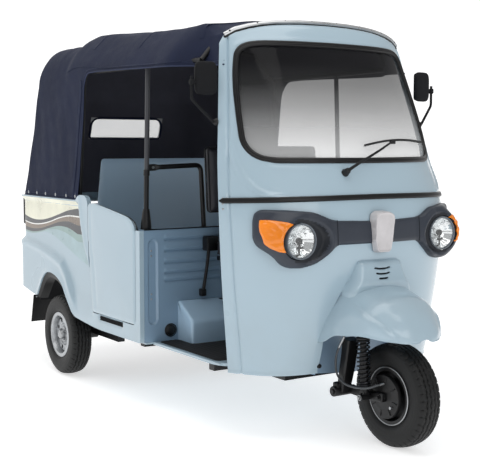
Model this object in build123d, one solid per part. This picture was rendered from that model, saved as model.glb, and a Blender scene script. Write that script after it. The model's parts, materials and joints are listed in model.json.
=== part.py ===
from build123d import *
import math
import os

# Three-wheeled auto rickshaw with a front cab and a cloth-roofed passenger space.
# Millimetres.  +Z up, front of the vehicle towards -Y, its right-hand side towards -X.
# Every length below is laid out from the front axle (y = 0) and moved by FRAME_Y
# at the end, so that the origin is the middle of the footprint on the floor.

# ---------------------------------------------------------------- driving sizes
FRAME_Y = -1141.0            # front axle's place from the vehicle's middle
WHEELBASE = 1920.0
TRACK_HALF = 541.7
TYRE_R, TYRE_W = 203.7, 108.0
BEAD_R, FLANGE_R = 102.0, 114.5
RIM_HALF = 46.0

GROUND_CLEAR = 290.0         # underside of the floor
FLOOR_T = 15.0
FLOOR_TOP = GROUND_CLEAR + FLOOR_T
BODY_HALF = 600.0            # half the width of the passenger tub
WALL = 24.0                  # pressed double-skin walls
SHELL_T = 18.0               # front shell wall
BULK_Y = 1000.0              # front face of the bulkhead behind the driver
TAIL_Y = 2455.0
TUB_TOP = 905.0
CORNER_R = 90.0

RAKE = 17.2                  # steering rake, degrees
STEER_FOOT = (0.0, -19.0)    # where the steering line meets the floor (x, y)

CLOTH_T = 8.0
ROOF_FRONT_Y = 506.0

os.makedirs("parts", exist_ok=True)


# ---------------------------------------------------------------- helpers
def emit(name, shape):
    """Move a finished piece into the vehicle's frame and write it."""
    pieces = shape if isinstance(shape, (list, tuple)) else [shape]
    solids = [q for p in pieces for q in (Pos(0, FRAME_Y, 0) * p).solids()]
    export_step(solids[0] if len(solids) == 1 else Compound(solids), "parts/" + name + ".step")


def box(x0, x1, y0, y1, z0, z1):
    return Pos((x0 + x1) / 2, (y0 + y1) / 2, (z0 + z1) / 2) * Box(abs(x1 - x0), abs(y1 - y0), abs(z1 - z0))


def rod(a, b, r):
    """Round bar from point a to point b."""
    a, b = Vector(*a), Vector(*b)
    d = b - a
    return Plane(origin=a, z_dir=d) * Pos(0, 0, d.length / 2) * Cylinder(r, d.length)


def tube(a, b, r, r_in):
    a, b = Vector(*a), Vector(*b)
    d = b - a
    pl = Plane(origin=a, z_dir=d)
    return pl * Pos(0, 0, d.length / 2) * Cylinder(r, d.length) - pl * Pos(0, 0, d.length / 2) * Cylinder(r_in, d.length + 4)


def mirrored(shape):
    return mirror(shape, about=Plane.YZ)


def yz_prism(points, x0, x1):
    """Side-view outline (y, z) made into a block from x0 to x1."""
    face = Plane.YZ * make_face(Polyline([(p[0], p[1]) for p in points], close=True))
    return Pos(x0, 0, 0) * extrude(face, x1 - x0, dir=(1, 0, 0))


def xz_face(edges):
    return make_face(Wire(edges))


def bent_pipe(points, radii, r):
    """Round tube along straight runs joined by tangent arcs."""
    path = FilletPolyline(*points, radius=radii)
    start = Plane(origin=path @ 0, z_dir=path % 0)
    return sweep(start * Circle(r), path=path)


# ---------------------------------------------------------------- front shell surfaces
# Plan sections of the shell: height, half width at the door edge, y of the door
# edge, y of the nose on the centre line, and how late the nose turns into the side.
SHELL = [
    # z       half_w  edge_y  nose_y  turn
    (272.0, 503.0, 434.0, 231.0, 5.6),
    (480.0, 532.0, 414.0, 169.0, 4.2),
    (800.0, 571.0, 387.0, 113.0, 3.2),
    (960.0, 576.0, 389.0, 137.0, 3.0),
    (1250.0, 529.0, 468.0, 258.0, 3.0),
    (1583.0, 472.0, 547.0, 424.0, 3.0),
    (1720.0, 452.0, 586.0, 530.0, 2.6),
]
KNEE = 0.55                  # where the flat front arc meets the corner arc


def arc_mid(p, q, turn_from):
    """Middle of the arc from p to q that leaves p at the angle turn_from (radians)."""
    cx, cy = q[0] - p[0], q[1] - p[1]
    length = math.hypot(cx, cy)
    chord = math.atan2(cy, cx)
    sag = length / 2 * math.tan((chord - turn_from) / 2)
    return ((p[0] + q[0]) / 2 + sag * math.sin(chord), (p[1] + q[1]) / 2 - sag * math.cos(chord))


def plan_points(half_w, edge_y, nose_y, turn):
    rise = edge_y - nose_y
    knee = (KNEE * half_w, nose_y + rise * KNEE ** turn)
    slope = 2 * math.atan2(knee[1] - nose_y, knee[0])
    return knee, arc_mid(knee, (half_w, edge_y), slope)


def shell_section(row, inset, back):
    """Closed plan outline; inset moves it inwards, back carries its sides rearwards."""
    z, half_w, edge_y, nose_y, turn = row
    w, e, n = half_w - inset, edge_y + 0.35 * inset, nose_y + inset
    knee, mid = plan_points(w, e, n, turn)
    edges = [
        ThreePointArc((-knee[0], knee[1], z), (0, n, z), (knee[0], knee[1], z)),
        ThreePointArc((knee[0], knee[1], z), (mid[0], mid[1], z), (w, e, z)),
    ]
    if back > 0:
        edges += [Line((w, e, z), (w, e + back, z)), Line((w, e + back, z), (-w, e + back, z)),
                  Line((-w, e + back, z), (-w, e, z))]
    else:
        edges += [Line((w, e, z), (-w, e, z))]
    edges += [ThreePointArc((-w, e, z), (-mid[0], mid[1], z), (-knee[0], knee[1], z))]
    return make_face(Wire(edges))


def shell_solid(inset, back=0.0):
    return loft([shell_section(row, inset, back) for row in SHELL])


# Roof arch across the cab: crown height, shoulder point and foot of the corner arc.
ARCH_CROWN, ARCH_SHOULDER, ARCH_FOOT = 1680.0, (345.0, 1650.0), (484.0, 1535.0)


def arch_block(inset, y0, y1, wide=900.0):
    """Everything under the roof arch, as a block from y0 to y1."""
    sx, sz = ARCH_SHOULDER[0] - 0.4 * inset, ARCH_SHOULDER[1] - inset
    fx, fz = ARCH_FOOT[0] - inset, ARCH_FOOT[1]
    lead = 2 * math.atan2(ARCH_CROWN - inset - sz, sx)
    m = arc_mid((sx, -sz), (fx, -fz), lead)
    edges = [
        ThreePointArc((-sx, 0, sz), (0, 0, ARCH_CROWN - inset), (sx, 0, sz)),
        ThreePointArc((sx, 0, sz), (m[0], 0, -m[1]), (fx, 0, fz)),
        Line((fx, 0, fz), (wide, 0, fz - 260)), Line((wide, 0, fz - 260), (wide, 0, 100)),
        Line((wide, 0, 100), (-wide, 0, 100)), Line((-wide, 0, 100), (-wide, 0, fz - 260)),
        Line((-wide, 0, fz - 260), (-fx, 0, fz)),
        ThreePointArc((-fx, 0, fz), (-m[0], 0, -m[1]), (-sx, 0, sz)),
    ]
    return Pos(0, y0, 0) * extrude(xz_face(edges), y1 - y0, dir=(0, 1, 0))


# Windscreen outline seen from the front, at the outer edge of its rubber seal:
# half width at the sill and at the head, heights, and the corner radii.
SCREEN_SILL_Z, SCREEN_HEAD_Z = 1099.0, 1588.0
SCREEN_SILL_X, SCREEN_HEAD_X = 490.0, 445.0
SCREEN_SILL_R, SCREEN_HEAD_R = 110.0, 55.0


def screen_block(inset, y0=0.0, y1=700.0):
    x0, x1 = SCREEN_SILL_X - inset, SCREEN_HEAD_X - inset
    z0, z1 = SCREEN_SILL_Z + inset, SCREEN_HEAD_Z - inset
    outline = Polyline([(-x0, z0), (x0, z0), (x1, z1), (-x1, z1)], close=True)
    face = make_face(outline)
    low = [v for v in face.vertices() if v.Y < (z0 + z1) / 2]
    high = [v for v in face.vertices() if v.Y > (z0 + z1) / 2]
    face = fillet(low, SCREEN_SILL_R - inset)
    face = fillet([v for v in face.vertices() if v.Y > z1 - 1], SCREEN_HEAD_R - 0.6 * inset)
    block = extrude(Plane.XZ * face, amount=y1 - y0)
    b = block.bounding_box()
    return Pos(0, y1 - b.max.Y, 0) * block


outer = shell_solid(0) & arch_block(0, 0, 640)
inner = shell_solid(SHELL_T, 200) & arch_block(SHELL_T, 0, 900)

# Recess in the bottom of the shell behind the front wheel.
WELL_HALF, WELL_BACK, WELL_TOP = 216.0, 278.0, 512.0
well = box(-WELL_HALF, WELL_HALF, 0, WELL_BACK, 200, WELL_TOP)
well_wall = box(-WELL_HALF - 8, WELL_HALF + 8, -20, WELL_BACK + 8, 180, WELL_TOP + 8)

steer_dir = Vector(0, math.sin(math.radians(RAKE)), math.cos(math.radians(RAKE)))
steer_foot = Vector(STEER_FOOT[0], STEER_FOOT[1], 0)


def on_steer(height):
    """Point on the steering line at a height above the floor."""
    p = steer_foot + steer_dir * (height / steer_dir.Z)
    return (p.X, p.Y, p.Z)


column_hole = rod(on_steer(430), on_steer(620), 44)

shell = (outer - well) - (inner - well_wall)
shell -= screen_block(26)
shell -= column_hole
shell -= box(-700, 700, 500, 800, 1602, 1800)
front_shell = max(shell.solids(), key=lambda s: s.volume)
emit("front_shell", front_shell)

# Windscreen: a curved pane set in the opening, and the rubber ring round it.
pane = (shell_solid(4) - shell_solid(9)) & screen_block(27, 0, 520)
pane = max(pane.solids(), key=lambda s: s.volume)
emit("windscreen_glass", pane)
ring = (shell_solid(-7) - shell_solid(-0.6)) & (screen_block(0, 0, 520) - screen_block(34, 0, 520))
ring = max(ring.solids(), key=lambda s: s.volume)
emit("windscreen_seal", ring)

# Belt moulding: a rubber strip round the nose at waist height.
belt = (shell_solid(-6) - shell_solid(-0.6)) & box(-700, 700, 0, 384, 946, 968)
belt = max(belt.solids(), key=lambda s: s.volume)
emit("belt_moulding", belt)

# ---------------------------------------------------------------- lamp surround, lamps, badge
LAMP_X, LAMP_Y, LAMP_Z, LAMP_R = 352.0, 137.0, 809.0, 76.0
# Front-view outline of the dark surround: x, z on the right-hand half.
SURROUND = [
    # x      z
    (-55.0, 877.0),
    (-205.0, 882.0),
    (-292.0, 917.0),
    (-482.0, 924.0),
    (-503.0, 900.0),
    (-503.0, 806.0),
    (-490.0, 784.0),
    (-460.0, 756.0),
    (-425.0, 716.0),
    (-347.0, 703.0),
    (-293.0, 716.0),
    (-255.0, 745.0),
    (-206.0, 785.0),
    (-55.0, 789.0),
]
half = make_face(Polyline([Vector(x, z) for x, z in SURROUND] + [Vector(0, 784), Vector(0, 878)], close=True))
half_block = extrude(Plane.XZ * half, amount=-400)
outline = half_block + mirrored(half_block)
outline = Pos(0, -outline.bounding_box().min.Y, 0) * outline
surround = (shell_solid(-30) - shell_solid(-0.6)) & outline
badge_space = box(-50, 50, 0, 200, 740, 915)
lamp_space = [Pos(s * LAMP_X, 150, LAMP_Z) * Rot(90, 0, 0) * Cylinder(LAMP_R + 1, 200) for s in (-1, 1)]
INDICATOR = (388.0, 484.0, 770.0, 890.0)      # x inner, x outer, z low, z high
indicator_space = [box(s * INDICATOR[0], s * INDICATOR[1], 60, 420, INDICATOR[2], INDICATOR[3]) for s in (-1, 1)]
for b in lamp_space + indicator_space + [badge_space]:
    surround -= b
surround = [s for s in surround.solids() if s.volume > 20000]
emit("lamp_surround", surround)

lamps = []
for s in (-1, 1):
    body = Pos(s * LAMP_X, 150, LAMP_Z) * Rot(90, 0, 0) * Cylinder(LAMP_R, 160)
    body = (body & (shell_solid(-34) - shell_solid(-0.8)))
    lamps.append(max(body.solids(), key=lambda q: q.volume))
emit("headlamps", lamps)

indicators = []
for s in (-1, 1):
    blk = box(s * (INDICATOR[0] + 1), s * (INDICATOR[1] - 1), 60, 420, INDICATOR[2] + 1, INDICATOR[3] - 1)
    blk -= Pos(s * LAMP_X, 150, LAMP_Z) * Rot(90, 0, 0) * Cylinder(LAMP_R + 2.5, 400)
    blk = blk & (shell_solid(-34) - shell_solid(-0.8))
    indicators.append(max(blk.solids(), key=lambda q: q.volume))
emit("front_indicators", indicators)

badge = box(-48, 48, 76, 140, 752, 905)
badge = fillet(badge.edges().filter_by(Axis.Y), 18)
badge = badge - shell_solid(-0.8)
badge = max(badge.solids(), key=lambda q: q.volume)
emit("nose_plate", badge)

# ---------------------------------------------------------------- front mudguard
# Cross sections of the mudguard: y, half width at the hem, hem height, half width
# at the shoulder, shoulder height, crown height.
MUDGUARD = [
    # y      hem_w  hem_z  sho_w  sho_z  crown_z
    (122.0, 226.0, 403.0, 130.0, 650.0, 722.0),
    (50.0, 205.0, 427.0, 126.0, 581.0, 616.0),
    (-40.0, 170.0, 446.0, 111.0, 556.0, 578.0),
    (-106.0, 112.0, 437.0, 80.0, 503.0, 525.0),
    (-146.0, 56.0, 431.0, 38.0, 460.0, 470.0),
]


def guard_section(row, inset, drop):
    y, hw, hz, sw, sz, cz = row
    hw, sw, sz, cz, hz = hw - inset, sw - inset, sz - inset, cz - inset, hz - drop
    m = ((hw + sw) / 2 + 10, (hz + sz) / 2 + 8)
    edges = [
        ThreePointArc((-sw, y, sz), (0, y, cz), (sw, y, sz)),
        ThreePointArc((sw, y, sz), (m[0], y, m[1]), (hw, y, hz)),
        Line((hw, y, hz), (-hw, y, hz)),
        ThreePointArc((-hw, y, hz), (-m[0], y, m[1]), (-sw, y, sz)),
    ]
    return make_face(Wire(edges))


GUARD_T = 6.0
guard_out = loft([guard_section(r, 0, 0) for r in MUDGUARD])
inner_rows = [(r[0] + (GUARD_T if i == len(MUDGUARD) - 1 else (40 if i == 0 else 0)),) + r[1:] for i, r in enumerate(MUDGUARD)]
guard_in = loft([guard_section(r, GUARD_T, 30) for r in inner_rows])
# The rear part runs back to the shell and is trimmed by it.
guard_back = extrude(guard_section(MUDGUARD[0], 0, 0), 90, dir=(0, 1, 0)) - extrude(guard_section(MUDGUARD[0], GUARD_T, 30), 90, dir=(0, 1, 0))
guard = (guard_out - guard_in) + guard_back
guard = guard - shell_solid(-1) - box(-50, 50, 60, 200, 735, 800)
mudguard = max(guard.solids(), key=lambda q: q.volume)
emit("front_mudguard", mudguard)

# ---------------------------------------------------------------- wiper and mirrors
pivot = rod((-122, 200, 1063), (-122, 168, 1063), 13)
arm = rod((-122, 174, 1063), (150, 232, 1180), 4.5)
blade = rod((5, 205, 1168), (184, 236, 1190), 5) + rod((184, 236, 1190), (372, 290, 1180), 5)
wiper = (pivot + arm + blade) - shell_solid(-8.5)
wiper = max(wiper.solids(), key=lambda q: q.volume)
emit("wiper", wiper)

head = Pos(-566, 497, 1432) * Rot(0, 0, -10) * Box(90, 30, 130)
head = fillet(head.edges().filter_by(Axis.Z), 14)
stalk = bent_pipe([(-529, 474, 1262), (-548, 476, 1264), (-628, 500, 1350), (-628, 500, 1440)], [12, 16], 6)
stalk += rod((-628, 500, 1415), (-600, 499, 1415), 5)
foot = Pos(-529, 474, 1262) * Sphere(14)
mir = (head + stalk + foot) - shell_solid(-1) - box(-530.2, 0, 300, 700, 1000, 1300)
mirror_parts = [max(mir.solids(), key=lambda q: q.volume)]
mirror_parts.append(mirrored(mirror_parts[0]))
emit("door_mirrors", mirror_parts)

# ---------------------------------------------------------------- floor, bulkhead, chassis
cab_floor = (shell_solid(SHELL_T + 1, 60) & box(-700, 700, 0, 470, GROUND_CLEAR + 8, FLOOR_TOP)) + box(-532, 532, 455, BULK_Y - 1, GROUND_CLEAR + 8, FLOOR_TOP)
cab_floor -= box(-WELL_HALF - 10, WELL_HALF + 10, 0, WELL_BACK + 10, 200, 500)
rear_floor = box(-572, 572, BULK_Y - 1, 1560, GROUND_CLEAR + 8, FLOOR_TOP)
floor = cab_floor + rear_floor
floor = max(floor.solids(), key=lambda q: q.volume)
emit("floor_pan", floor)

bulk = box(-BODY_HALF + WALL + 0.5, BODY_HALF - WALL - 0.5, BULK_Y, BULK_Y + WALL, FLOOR_TOP, 800)
for s in (-1, 1):
    slot = box(s * 515, s * 562, BULK_Y - 5, BULK_Y + 7, 378, 767)
    bulk -= fillet(slot.edges().filter_by(Axis.Y), 22)
LOUVRES = [600.0, 638.0, 676.0, 714.0, 752.0]
for z in LOUVRES:
    bulk -= box(-476, 476, BULK_Y - 5, BULK_Y + 4, z - 2, z + 8)
# Ledge along the top edge, which carries the roof posts and the guard rails.
bulk += box(-BODY_HALF + WALL + 0.5, BODY_HALF - WALL - 0.5, BULK_Y + WALL - 2, BULK_Y + 72, 788, 800)
emit("bulkhead", bulk)

tunnel = yz_prism([(BULK_Y - 1, FLOOR_TOP + 1), (BULK_Y - 1, 480), (880, 410), (872, FLOOR_TOP + 1)], -410, 410)
tunnel -= yz_prism([(BULK_Y + 5, FLOOR_TOP - 9), (BULK_Y + 5, 466), (888, 398), (882, FLOOR_TOP - 9)], -398, 398)
emit("battery_cover", max(tunnel.solids(), key=lambda q: q.volume))

RAIL_IN, RAIL_OUT, RAIL_LOW = 255.0, 300.0, 232.0
rails = [box(k * RAIL_IN, k * RAIL_OUT, 330, 2300, RAIL_LOW, GROUND_CLEAR + 7) for k in (-1, 1)]
emit("chassis_rails", rails)
CROSS = [
    # y0     y1     z0     z1
    (332.0, 380.0, 232.0, 292.0),
    (900.0, 950.0, 232.0, 292.0),
    (1480.0, 1530.0, 232.0, 292.0),
    (2250.0, 2300.0, 232.0, 292.0),
]
cross = [box(-RAIL_IN, RAIL_IN, y0, y1, z0, z1) for y0, y1, z0, z1 in CROSS]
# towing bracket on the rear cross member, with a pin hole
TOW_R, TOW_Y = 11.0, 2326.0
cross[-1] = cross[-1] + box(-32, 32, 2300, 2350, 236, 248) - rod((0, TOW_Y, 200), (0, TOW_Y, 300), TOW_R)
# outriggers that carry the edge of the floor
for y0 in (520.0, 1120.0):
    for k in (-1, 1):
        cross.append(box(k * RAIL_OUT, k * 515, y0, y0 + 40, 262, 292))
emit("chassis_cross_members", cross)

neck_outer = rod(on_steer(540), on_steer(792), 34)
neck_stay = yz_prism([(210, 560), (280, 560), (395, FLOOR_TOP + 1), (320, FLOOR_TOP + 1)], -36, 36)
neck = neck_outer + neck_stay - rod(on_steer(380), on_steer(900), 24)
neck = neck - (outer - inner)
neck -= well_wall
emit("steering_neck", max(neck.solids(), key=lambda q: q.volume))

# ---------------------------------------------------------------- driver's seat
legs = []
for s in (-1, 1):
    legs.append(rod((s * 300, 935, 520), (s * 300, 935, 660), 11))
seat_frame = box(-315, 315, 520, 985, 655, 675)
for leg in legs:
    seat_frame += leg
seat_frame += box(-315, 315, 960, 985, 500, 675) + box(-315, 315, 985, BULK_Y - 1, 500, 540)
for s in (-1, 1):
    seat_frame += rod((s * 200, 955, 670), (s * 200, 985, 1080), 9)
emit("driver_seat_frame", seat_frame)
cushion = box(-330, 330, 500, 930, 676, 758)
cushion = fillet(cushion.edges().filter_by(Axis.Z), 45)
cushion = fillet(cushion.edges().group_by(Axis.Z)[-1], 22)
emit("driver_seat_cushion", cushion)
back = box(-302, 302, 0, 60, 0, 300)
back = fillet(back.edges().filter_by(Axis.Y), 60)
back = fillet(back.edges().group_by(Axis.Y)[0], 18)
back = Pos(0, 892, 872) * Rot(-4.2, 0, 0) * back
emit("driver_seat_back", back)

# ---------------------------------------------------------------- rear tub
def plan_block(half_w, y0, y1, r, z0, z1):
    """Block with rounded rear corners in plan."""
    b = box(-half_w, half_w, y0, y1, z0, z1)
    e = [k for k in b.edges().filter_by(Axis.Z) if k.center().Y > y1 - 1]
    return fillet(e, r)


TUB_SIDE = [
    # y       z
    (1000.0, 305.0), (1590.0, 305.0), (1712.0, 331.0),
    (1747.0, 368.0), (1801.0, 421.0), (1842.0, 478.0), (1911.0, 508.0), (2000.0, 522.0),
    (2050.0, 515.0), (2095.0, 481.0), (2178.0, 376.0), (2357.0, 407.0), (2470.0, 420.0),
    (2470.0, 905.0), (1672.0, 905.0), (1651.0, 926.0), (1615.0, 935.0), (1565.0, 931.0), (1543.0, 915.0),
    (1536.0, 888.0), (1536.0, 720.0), (1495.0, 372.0), (1046.0, 372.0), (1038.0, 380.0), (1038.0, 800.0), (1000.0, 800.0),
]
tub = plan_block(BODY_HALF, 900, TAIL_Y, CORNER_R, 200, 1000) - plan_block(BODY_HALF - WALL, 800, TAIL_Y - WALL, CORNER_R - WALL, 100, 1100)
tub = tub & yz_prism(TUB_SIDE, -700, 700)
right_cut = box(-700, -BODY_HALF + CORNER_R, 900, TAIL_Y + 50, 0, 1200)
side_r = max((tub & right_cut).solids(), key=lambda q: q.volume)
emit("side_panel_right", side_r)
emit("side_panel_left", mirrored(side_r))

LID = (350.0, 470.0, 850.0)              # half width, low z, high z of the tail opening
tail = tub & box(-BODY_HALF + CORNER_R + 1, BODY_HALF - CORNER_R - 1, 2300, TAIL_Y + 50, 0, 1200)
tail -= box(-LID[0], LID[0], 2300, 2600, LID[1], LID[2])
emit("tail_panel", max(tail.solids(), key=lambda q: q.volume))
lid = box(-LID[0] + 6, LID[0] - 6, TAIL_Y - 20, TAIL_Y + 2, LID[1] + 6, LID[2] - 10)
lid = fillet(lid.edges().filter_by(Axis.Y), 12)
PLATE_HOLE_X, PLATE_Z = 90.0, 660.0
plate_holes = [rod((s * PLATE_HOLE_X, TAIL_Y - 60, PLATE_Z), (s * PLATE_HOLE_X, TAIL_Y + 60, PLATE_Z), 3.5) for s in (-1, 1)]
for h in plate_holes:
    lid -= h
LID_HINGE_Y, LID_HINGE_Z = TAIL_Y + 7, 846.0
for k in (-1, 1):
    lid += rod((k * 190, LID_HINGE_Y, LID_HINGE_Z), (k * 250, LID_HINGE_Y, LID_HINGE_Z), 6)
    lid += box(k * 190, k * 250, TAIL_Y - 4, LID_HINGE_Y, 820, LID_HINGE_Z - 7) + box(k * 190, k * 250, TAIL_Y + 1.2, LID_HINGE_Y, 820, LID_HINGE_Z)
emit("engine_lid", lid)

# Half doors: a flat pressed panel in the side opening, hinged along its rear edge.
DOOR = [
    # y       z
    (1044.0, 382.0), (1487.0, 382.0), (1528.0, 720.0), (1528.0, 889.0), (1112.0, 862.0), (1044.0, 802.0),
]
door = yz_prism(DOOR, -BODY_HALF - 4, -BODY_HALF + 18)
long_edges = [k for k in door.edges().filter_by(Axis.X)]
rad = {0: 18.0, 1: 14.0, 2: 60.0, 3: 22.0, 4: 34.0, 5: 30.0}
for i, (y, z) in enumerate(DOOR):
    near = [k for k in door.edges().filter_by(Axis.X) if abs(k.center().Y - y) < 1.5 and abs(k.center().Z - z) < 1.5]
    door = fillet(near, rad[i])
HINGE_Y, HINGE_X = 1532.0, -BODY_HALF - 9
knuckles = []
for z in (735.0, 835.0):
    k = Pos(HINGE_X, HINGE_Y, z) * Cylinder(6, 40) + box(HINGE_X, -BODY_HALF + 4, 1506, HINGE_Y - 4, z - 20, z + 20)
    knuckles.append(k)
door_r = door
for k in knuckles:
    door_r = door_r + k
door_r = max(door_r.solids(), key=lambda q: q.volume)
emit("side_door_right", door_r)
emit("side_door_left", mirrored(door_r))

# ---------------------------------------------------------------- rear seat and engine
seat_base = box(-470, 470, 1340, 1700, FLOOR_TOP + 1, 560)
seat_base -= box(-455, 455, 1355, 1720, FLOOR_TOP - 5, 545)
emit("rear_seat_base", seat_base)
rear_cush = box(-455, 455, 1300, 1740, 561, 668)
rear_cush = fillet(rear_cush.edges().filter_by(Axis.Z), 40)
rear_cush = fillet(rear_cush.edges().group_by(Axis.Z)[-1], 25)
emit("rear_seat_cushion", rear_cush)
back_face = make_face(Polyline([Vector(-480, 0), Vector(480, 0), Vector(392, 560), Vector(-392, 560)], close=True))
seat_back = extrude(Plane.XZ * back_face, amount=14)
seat_back = Pos(0, 1760, 548) * Rot(-6, 0, 0) * (Pos(0, 0, 0) * seat_back)
lip = Pos(0, 1760, 548) * Rot(-6, 0, 0) * box(-392, 392, -14, 16, 548, 562)
seat_back = seat_back + lip
emit("rear_seat_back", max(seat_back.solids(), key=lambda q: q.volume))
engine = box(-190, 190, 1760, 2180, 200, 470)
engine = chamfer(engine.edges(), 12)
emit("engine_block", engine)

# ---------------------------------------------------------------- canopy and its frame
ROOF_SIDE = [
    # y       z
    (506.0, 1400.0), (506.0, 1688.0), (900.0, 1712.0), (1450.0, 1738.0), (1640.0, 1738.0),
    (1760.0, 1712.0), (2010.0, 1700.0), (2130.0, 1650.0), (2215.0, 1540.0), (2262.0, 1440.0), (2330.0, 1180.0),
    (2450.0, 912.0), (2450.0, 880.0), (500.0, 880.0),
]
ROOF_PLAN = [(506.0, 476.0), (800.0, 585.0), (1500.0, 592.0), (2470.0, 592.0)]
# Side opening of the cloth: its rear edge leans back towards the tub.
SIDE_OPEN = [
    # y       z
    (400.0, 700.0), (1694.0, 700.0), (1676.0, 930.0), (1622.0, 1301.0), (1604.0, 1440.0),
    (1575.0, 1490.0), (1530.0, 1508.0), (400.0, 1492.0),
]


def canopy_block(t):
    side = [(y, z) for y, z in ROOF_SIDE]
    sx, sz = 430.0 - 0.3 * t, 1668.0 - t
    fx, fz = 594.0 - t, 1500.0
    crown = 1740.0 - t
    m = arc_mid((sx, -sz), (fx, -fz), 2 * math.atan2(crown - sz, sx))
    edges = [
        ThreePointArc((-sx, 0, sz), (0, 0, crown), (sx, 0, sz)),
        ThreePointArc((sx, 0, sz), (m[0], 0, -m[1]), (fx, 0, fz)),
        Line((fx, 0, fz), (fx, 0, 800)), Line((fx, 0, 800), (-fx, 0, 800)), Line((-fx, 0, 800), (-fx, 0, fz)),
        ThreePointArc((-fx, 0, fz), (-m[0], 0, -m[1]), (-sx, 0, sz)),
    ]
    arch = Pos(0, 400, 0) * extrude(xz_face(edges), 2200, dir=(0, 1, 0))
    cy, cz = 1500.0, 880.0
    prof = yz_prism([(y - (t if y > 2000 else 0) * 1.0 - (60 if y < 520 and t > 0 else 0), z - (t if z > 1000 else 60 if t > 0 else 0)) for y, z in side], -700, 700)
    plan = [(y - (60 if i == 0 and t > 0 else 0), w - t) for i, (y, w) in enumerate(ROOF_PLAN)]
    pts = [Vector(w, y) for y, w in plan] + [Vector(-w, y) for y, w in reversed(plan)]
    pl = Pos(0, 0, 500) * extrude(make_face(Polyline(pts, close=True)), 1500, dir=(0, 0, 1))
    return arch & prof & pl


canopy = canopy_block(0) - canopy_block(CLOTH_T)
opening = yz_prism(SIDE_OPEN, -700, 700)
canopy -= opening
canopy -= box(-520, 520, 400, 600, 600, 1602)
WINDOW = (216.0, 1216.0, 1318.0)
win = box(-WINDOW[0], WINDOW[0], 2200, 2500, WINDOW[1], WINDOW[2])
win = fillet([k for k in win.edges().filter_by(Axis.Y) if k.center().Z > 1300], 44)
canopy -= win
canopy -= box(-700, 700, 1400, 2600, 0, TUB_TOP + 1.5)
canopy = max(canopy.solids(), key=lambda q: q.volume)
emit("canopy", canopy)
pane = canopy_block(1) - canopy_block(6)
win_in = box(-WINDOW[0] + 1, WINDOW[0] - 1, 2200, 2500, WINDOW[1] + 1, WINDOW[2] - 1)
win_in = fillet([k for k in win_in.edges().filter_by(Axis.Y) if k.center().Z > 1300], 44)
pane = pane & win_in
emit("rear_window", max(pane.solids(), key=lambda q: q.volume))

BOW_R = 11.0
BOWS = [
    # y_foot  z_foot  y_top   z_crown  half_foot
    (1708.0, 930.0, 1640.0, 1704.0, 558.0),
    (2150.0, 930.0, 1960.0, 1664.0, 558.0),
]
bows = []
for yf, zf, yt, zc, hf in BOWS:
    pts = [(-hf, yf, zf), (-hf, yt, 1500), (-hf + 130, yt, zc - 58), (0, yt, zc), (hf - 130, yt, zc - 58), (hf, yt, 1500), (hf, yf, zf)]
    bows.append(bent_pipe(pts, [60, 60, 300, 60, 60], BOW_R))
bows.append(bent_pipe([(-498, 640, 1515), (-408, 640, 1618), (0, 640, 1658), (408, 640, 1618), (498, 640, 1515)], [60, 300, 60], BOW_R))
emit("canopy_bows", bows)
side_rails = []
for k in (-1, 1):
    bar = rod((k * 498, 640, 1515), (k * 553, 1640, 1520), BOW_R) - bows[0] - bows[2]
    side_rails.append(max(bar.solids(), key=lambda q: q.volume))
    bar = rod((k * 553, 1640, 1520), (k * 553, 1960, 1510), BOW_R) - bows[0] - bows[1]
    side_rails.append(max(bar.solids(), key=lambda q: q.volume))
emit("canopy_side_rails", side_rails)

post_r = tube((-541, 1050, 800), (-522, 1058, 1514), 11, 8) - side_rails[0]
boot = rod((-541, 1050, 800), (-540, 1050.5, 860), 20)
post_r = post_r + boot
post_r = post_r - bulk
posts = [post_r, mirrored(post_r)]
emit("roof_posts", posts)
rail = rod((-522, 1052, 1090), (-250, 1036, 1100), 11) + rod((-250, 1036, 1100), (-250, 1036, 800), 11) - post_r
rail = max(rail.solids(), key=lambda q: q.volume)
emit("guard_rails", [rail, mirrored(rail)])

trim = (arch_block(-7, 490, 503) - arch_block(-1, 480, 510)) & box(-452, 452, 400, 600, 1590, 1720)
emit("roof_trim", max(trim.solids(), key=lambda q: q.volume))

# ---------------------------------------------------------------- rear running gear and trim
arch_ring = Pos(0, WHEELBASE + 20, 215) * Rot(0, 90, 0) * Cylinder(300, 136) - Pos(0, WHEELBASE + 20, 215) * Rot(0, 90, 0) * Cylinder(288, 200)
arch_ring = arch_ring & box(-200, 200, 1700, 2250, 345, 700)
liner = Pos(-505, 0, 0) * arch_ring
emit("wheel_arch_liners", [liner, mirrored(liner)])

flap = box(-598, -462, 2262, 2268, 222, 372)
emit("mud_flaps", [flap, mirrored(flap)])

swing = rod((-300.5, 1560, 262), (-430, 1560, 262), 22) + box(-430, -395, 1560, 1940, 205, 250)
swing = swing + rod((-380, WHEELBASE, TYRE_R), (-470, WHEELBASE, TYRE_R), 34)
swing = swing + rod((-470, WHEELBASE, TYRE_R), (-TRACK_HALF - 20, WHEELBASE, TYRE_R), 14)
swing = max(swing.solids(), key=lambda q: q.volume)
emit("rear_swing_arms", [swing, mirrored(swing)])
damper = rod((-370, WHEELBASE - 20, 255), (-370, WHEELBASE - 40, 500), 26)
damper = damper & box(-500, 0, 1700, 2100, 252, 490)
emit("rear_dampers", [damper, mirrored(damper)])

lamp = box(-560, -470, TAIL_Y - 10, TAIL_Y + 22, 740, 890) 
lamp = fillet(lamp.edges().filter_by(Axis.Y), 12)
lamp = lamp - plan_block(BODY_HALF + 0.5, 900, TAIL_Y + 0.5, CORNER_R, 200, 1000)
lamp = max(lamp.solids(), key=lambda q: q.volume)
emit("tail_lamps", [lamp, mirrored(lamp)])

bumper = rod((-430, 2470, 386), (430, 2470, 386), 16)
for s in (-1, 1):
    bumper += rod((s * 278, 2290, 256), (s * 278, 2470, 386), 14)
bumper -= box(-700, 700, 2000, 2300.5, 0, 600)
emit("rear_bumper", bumper)

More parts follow.
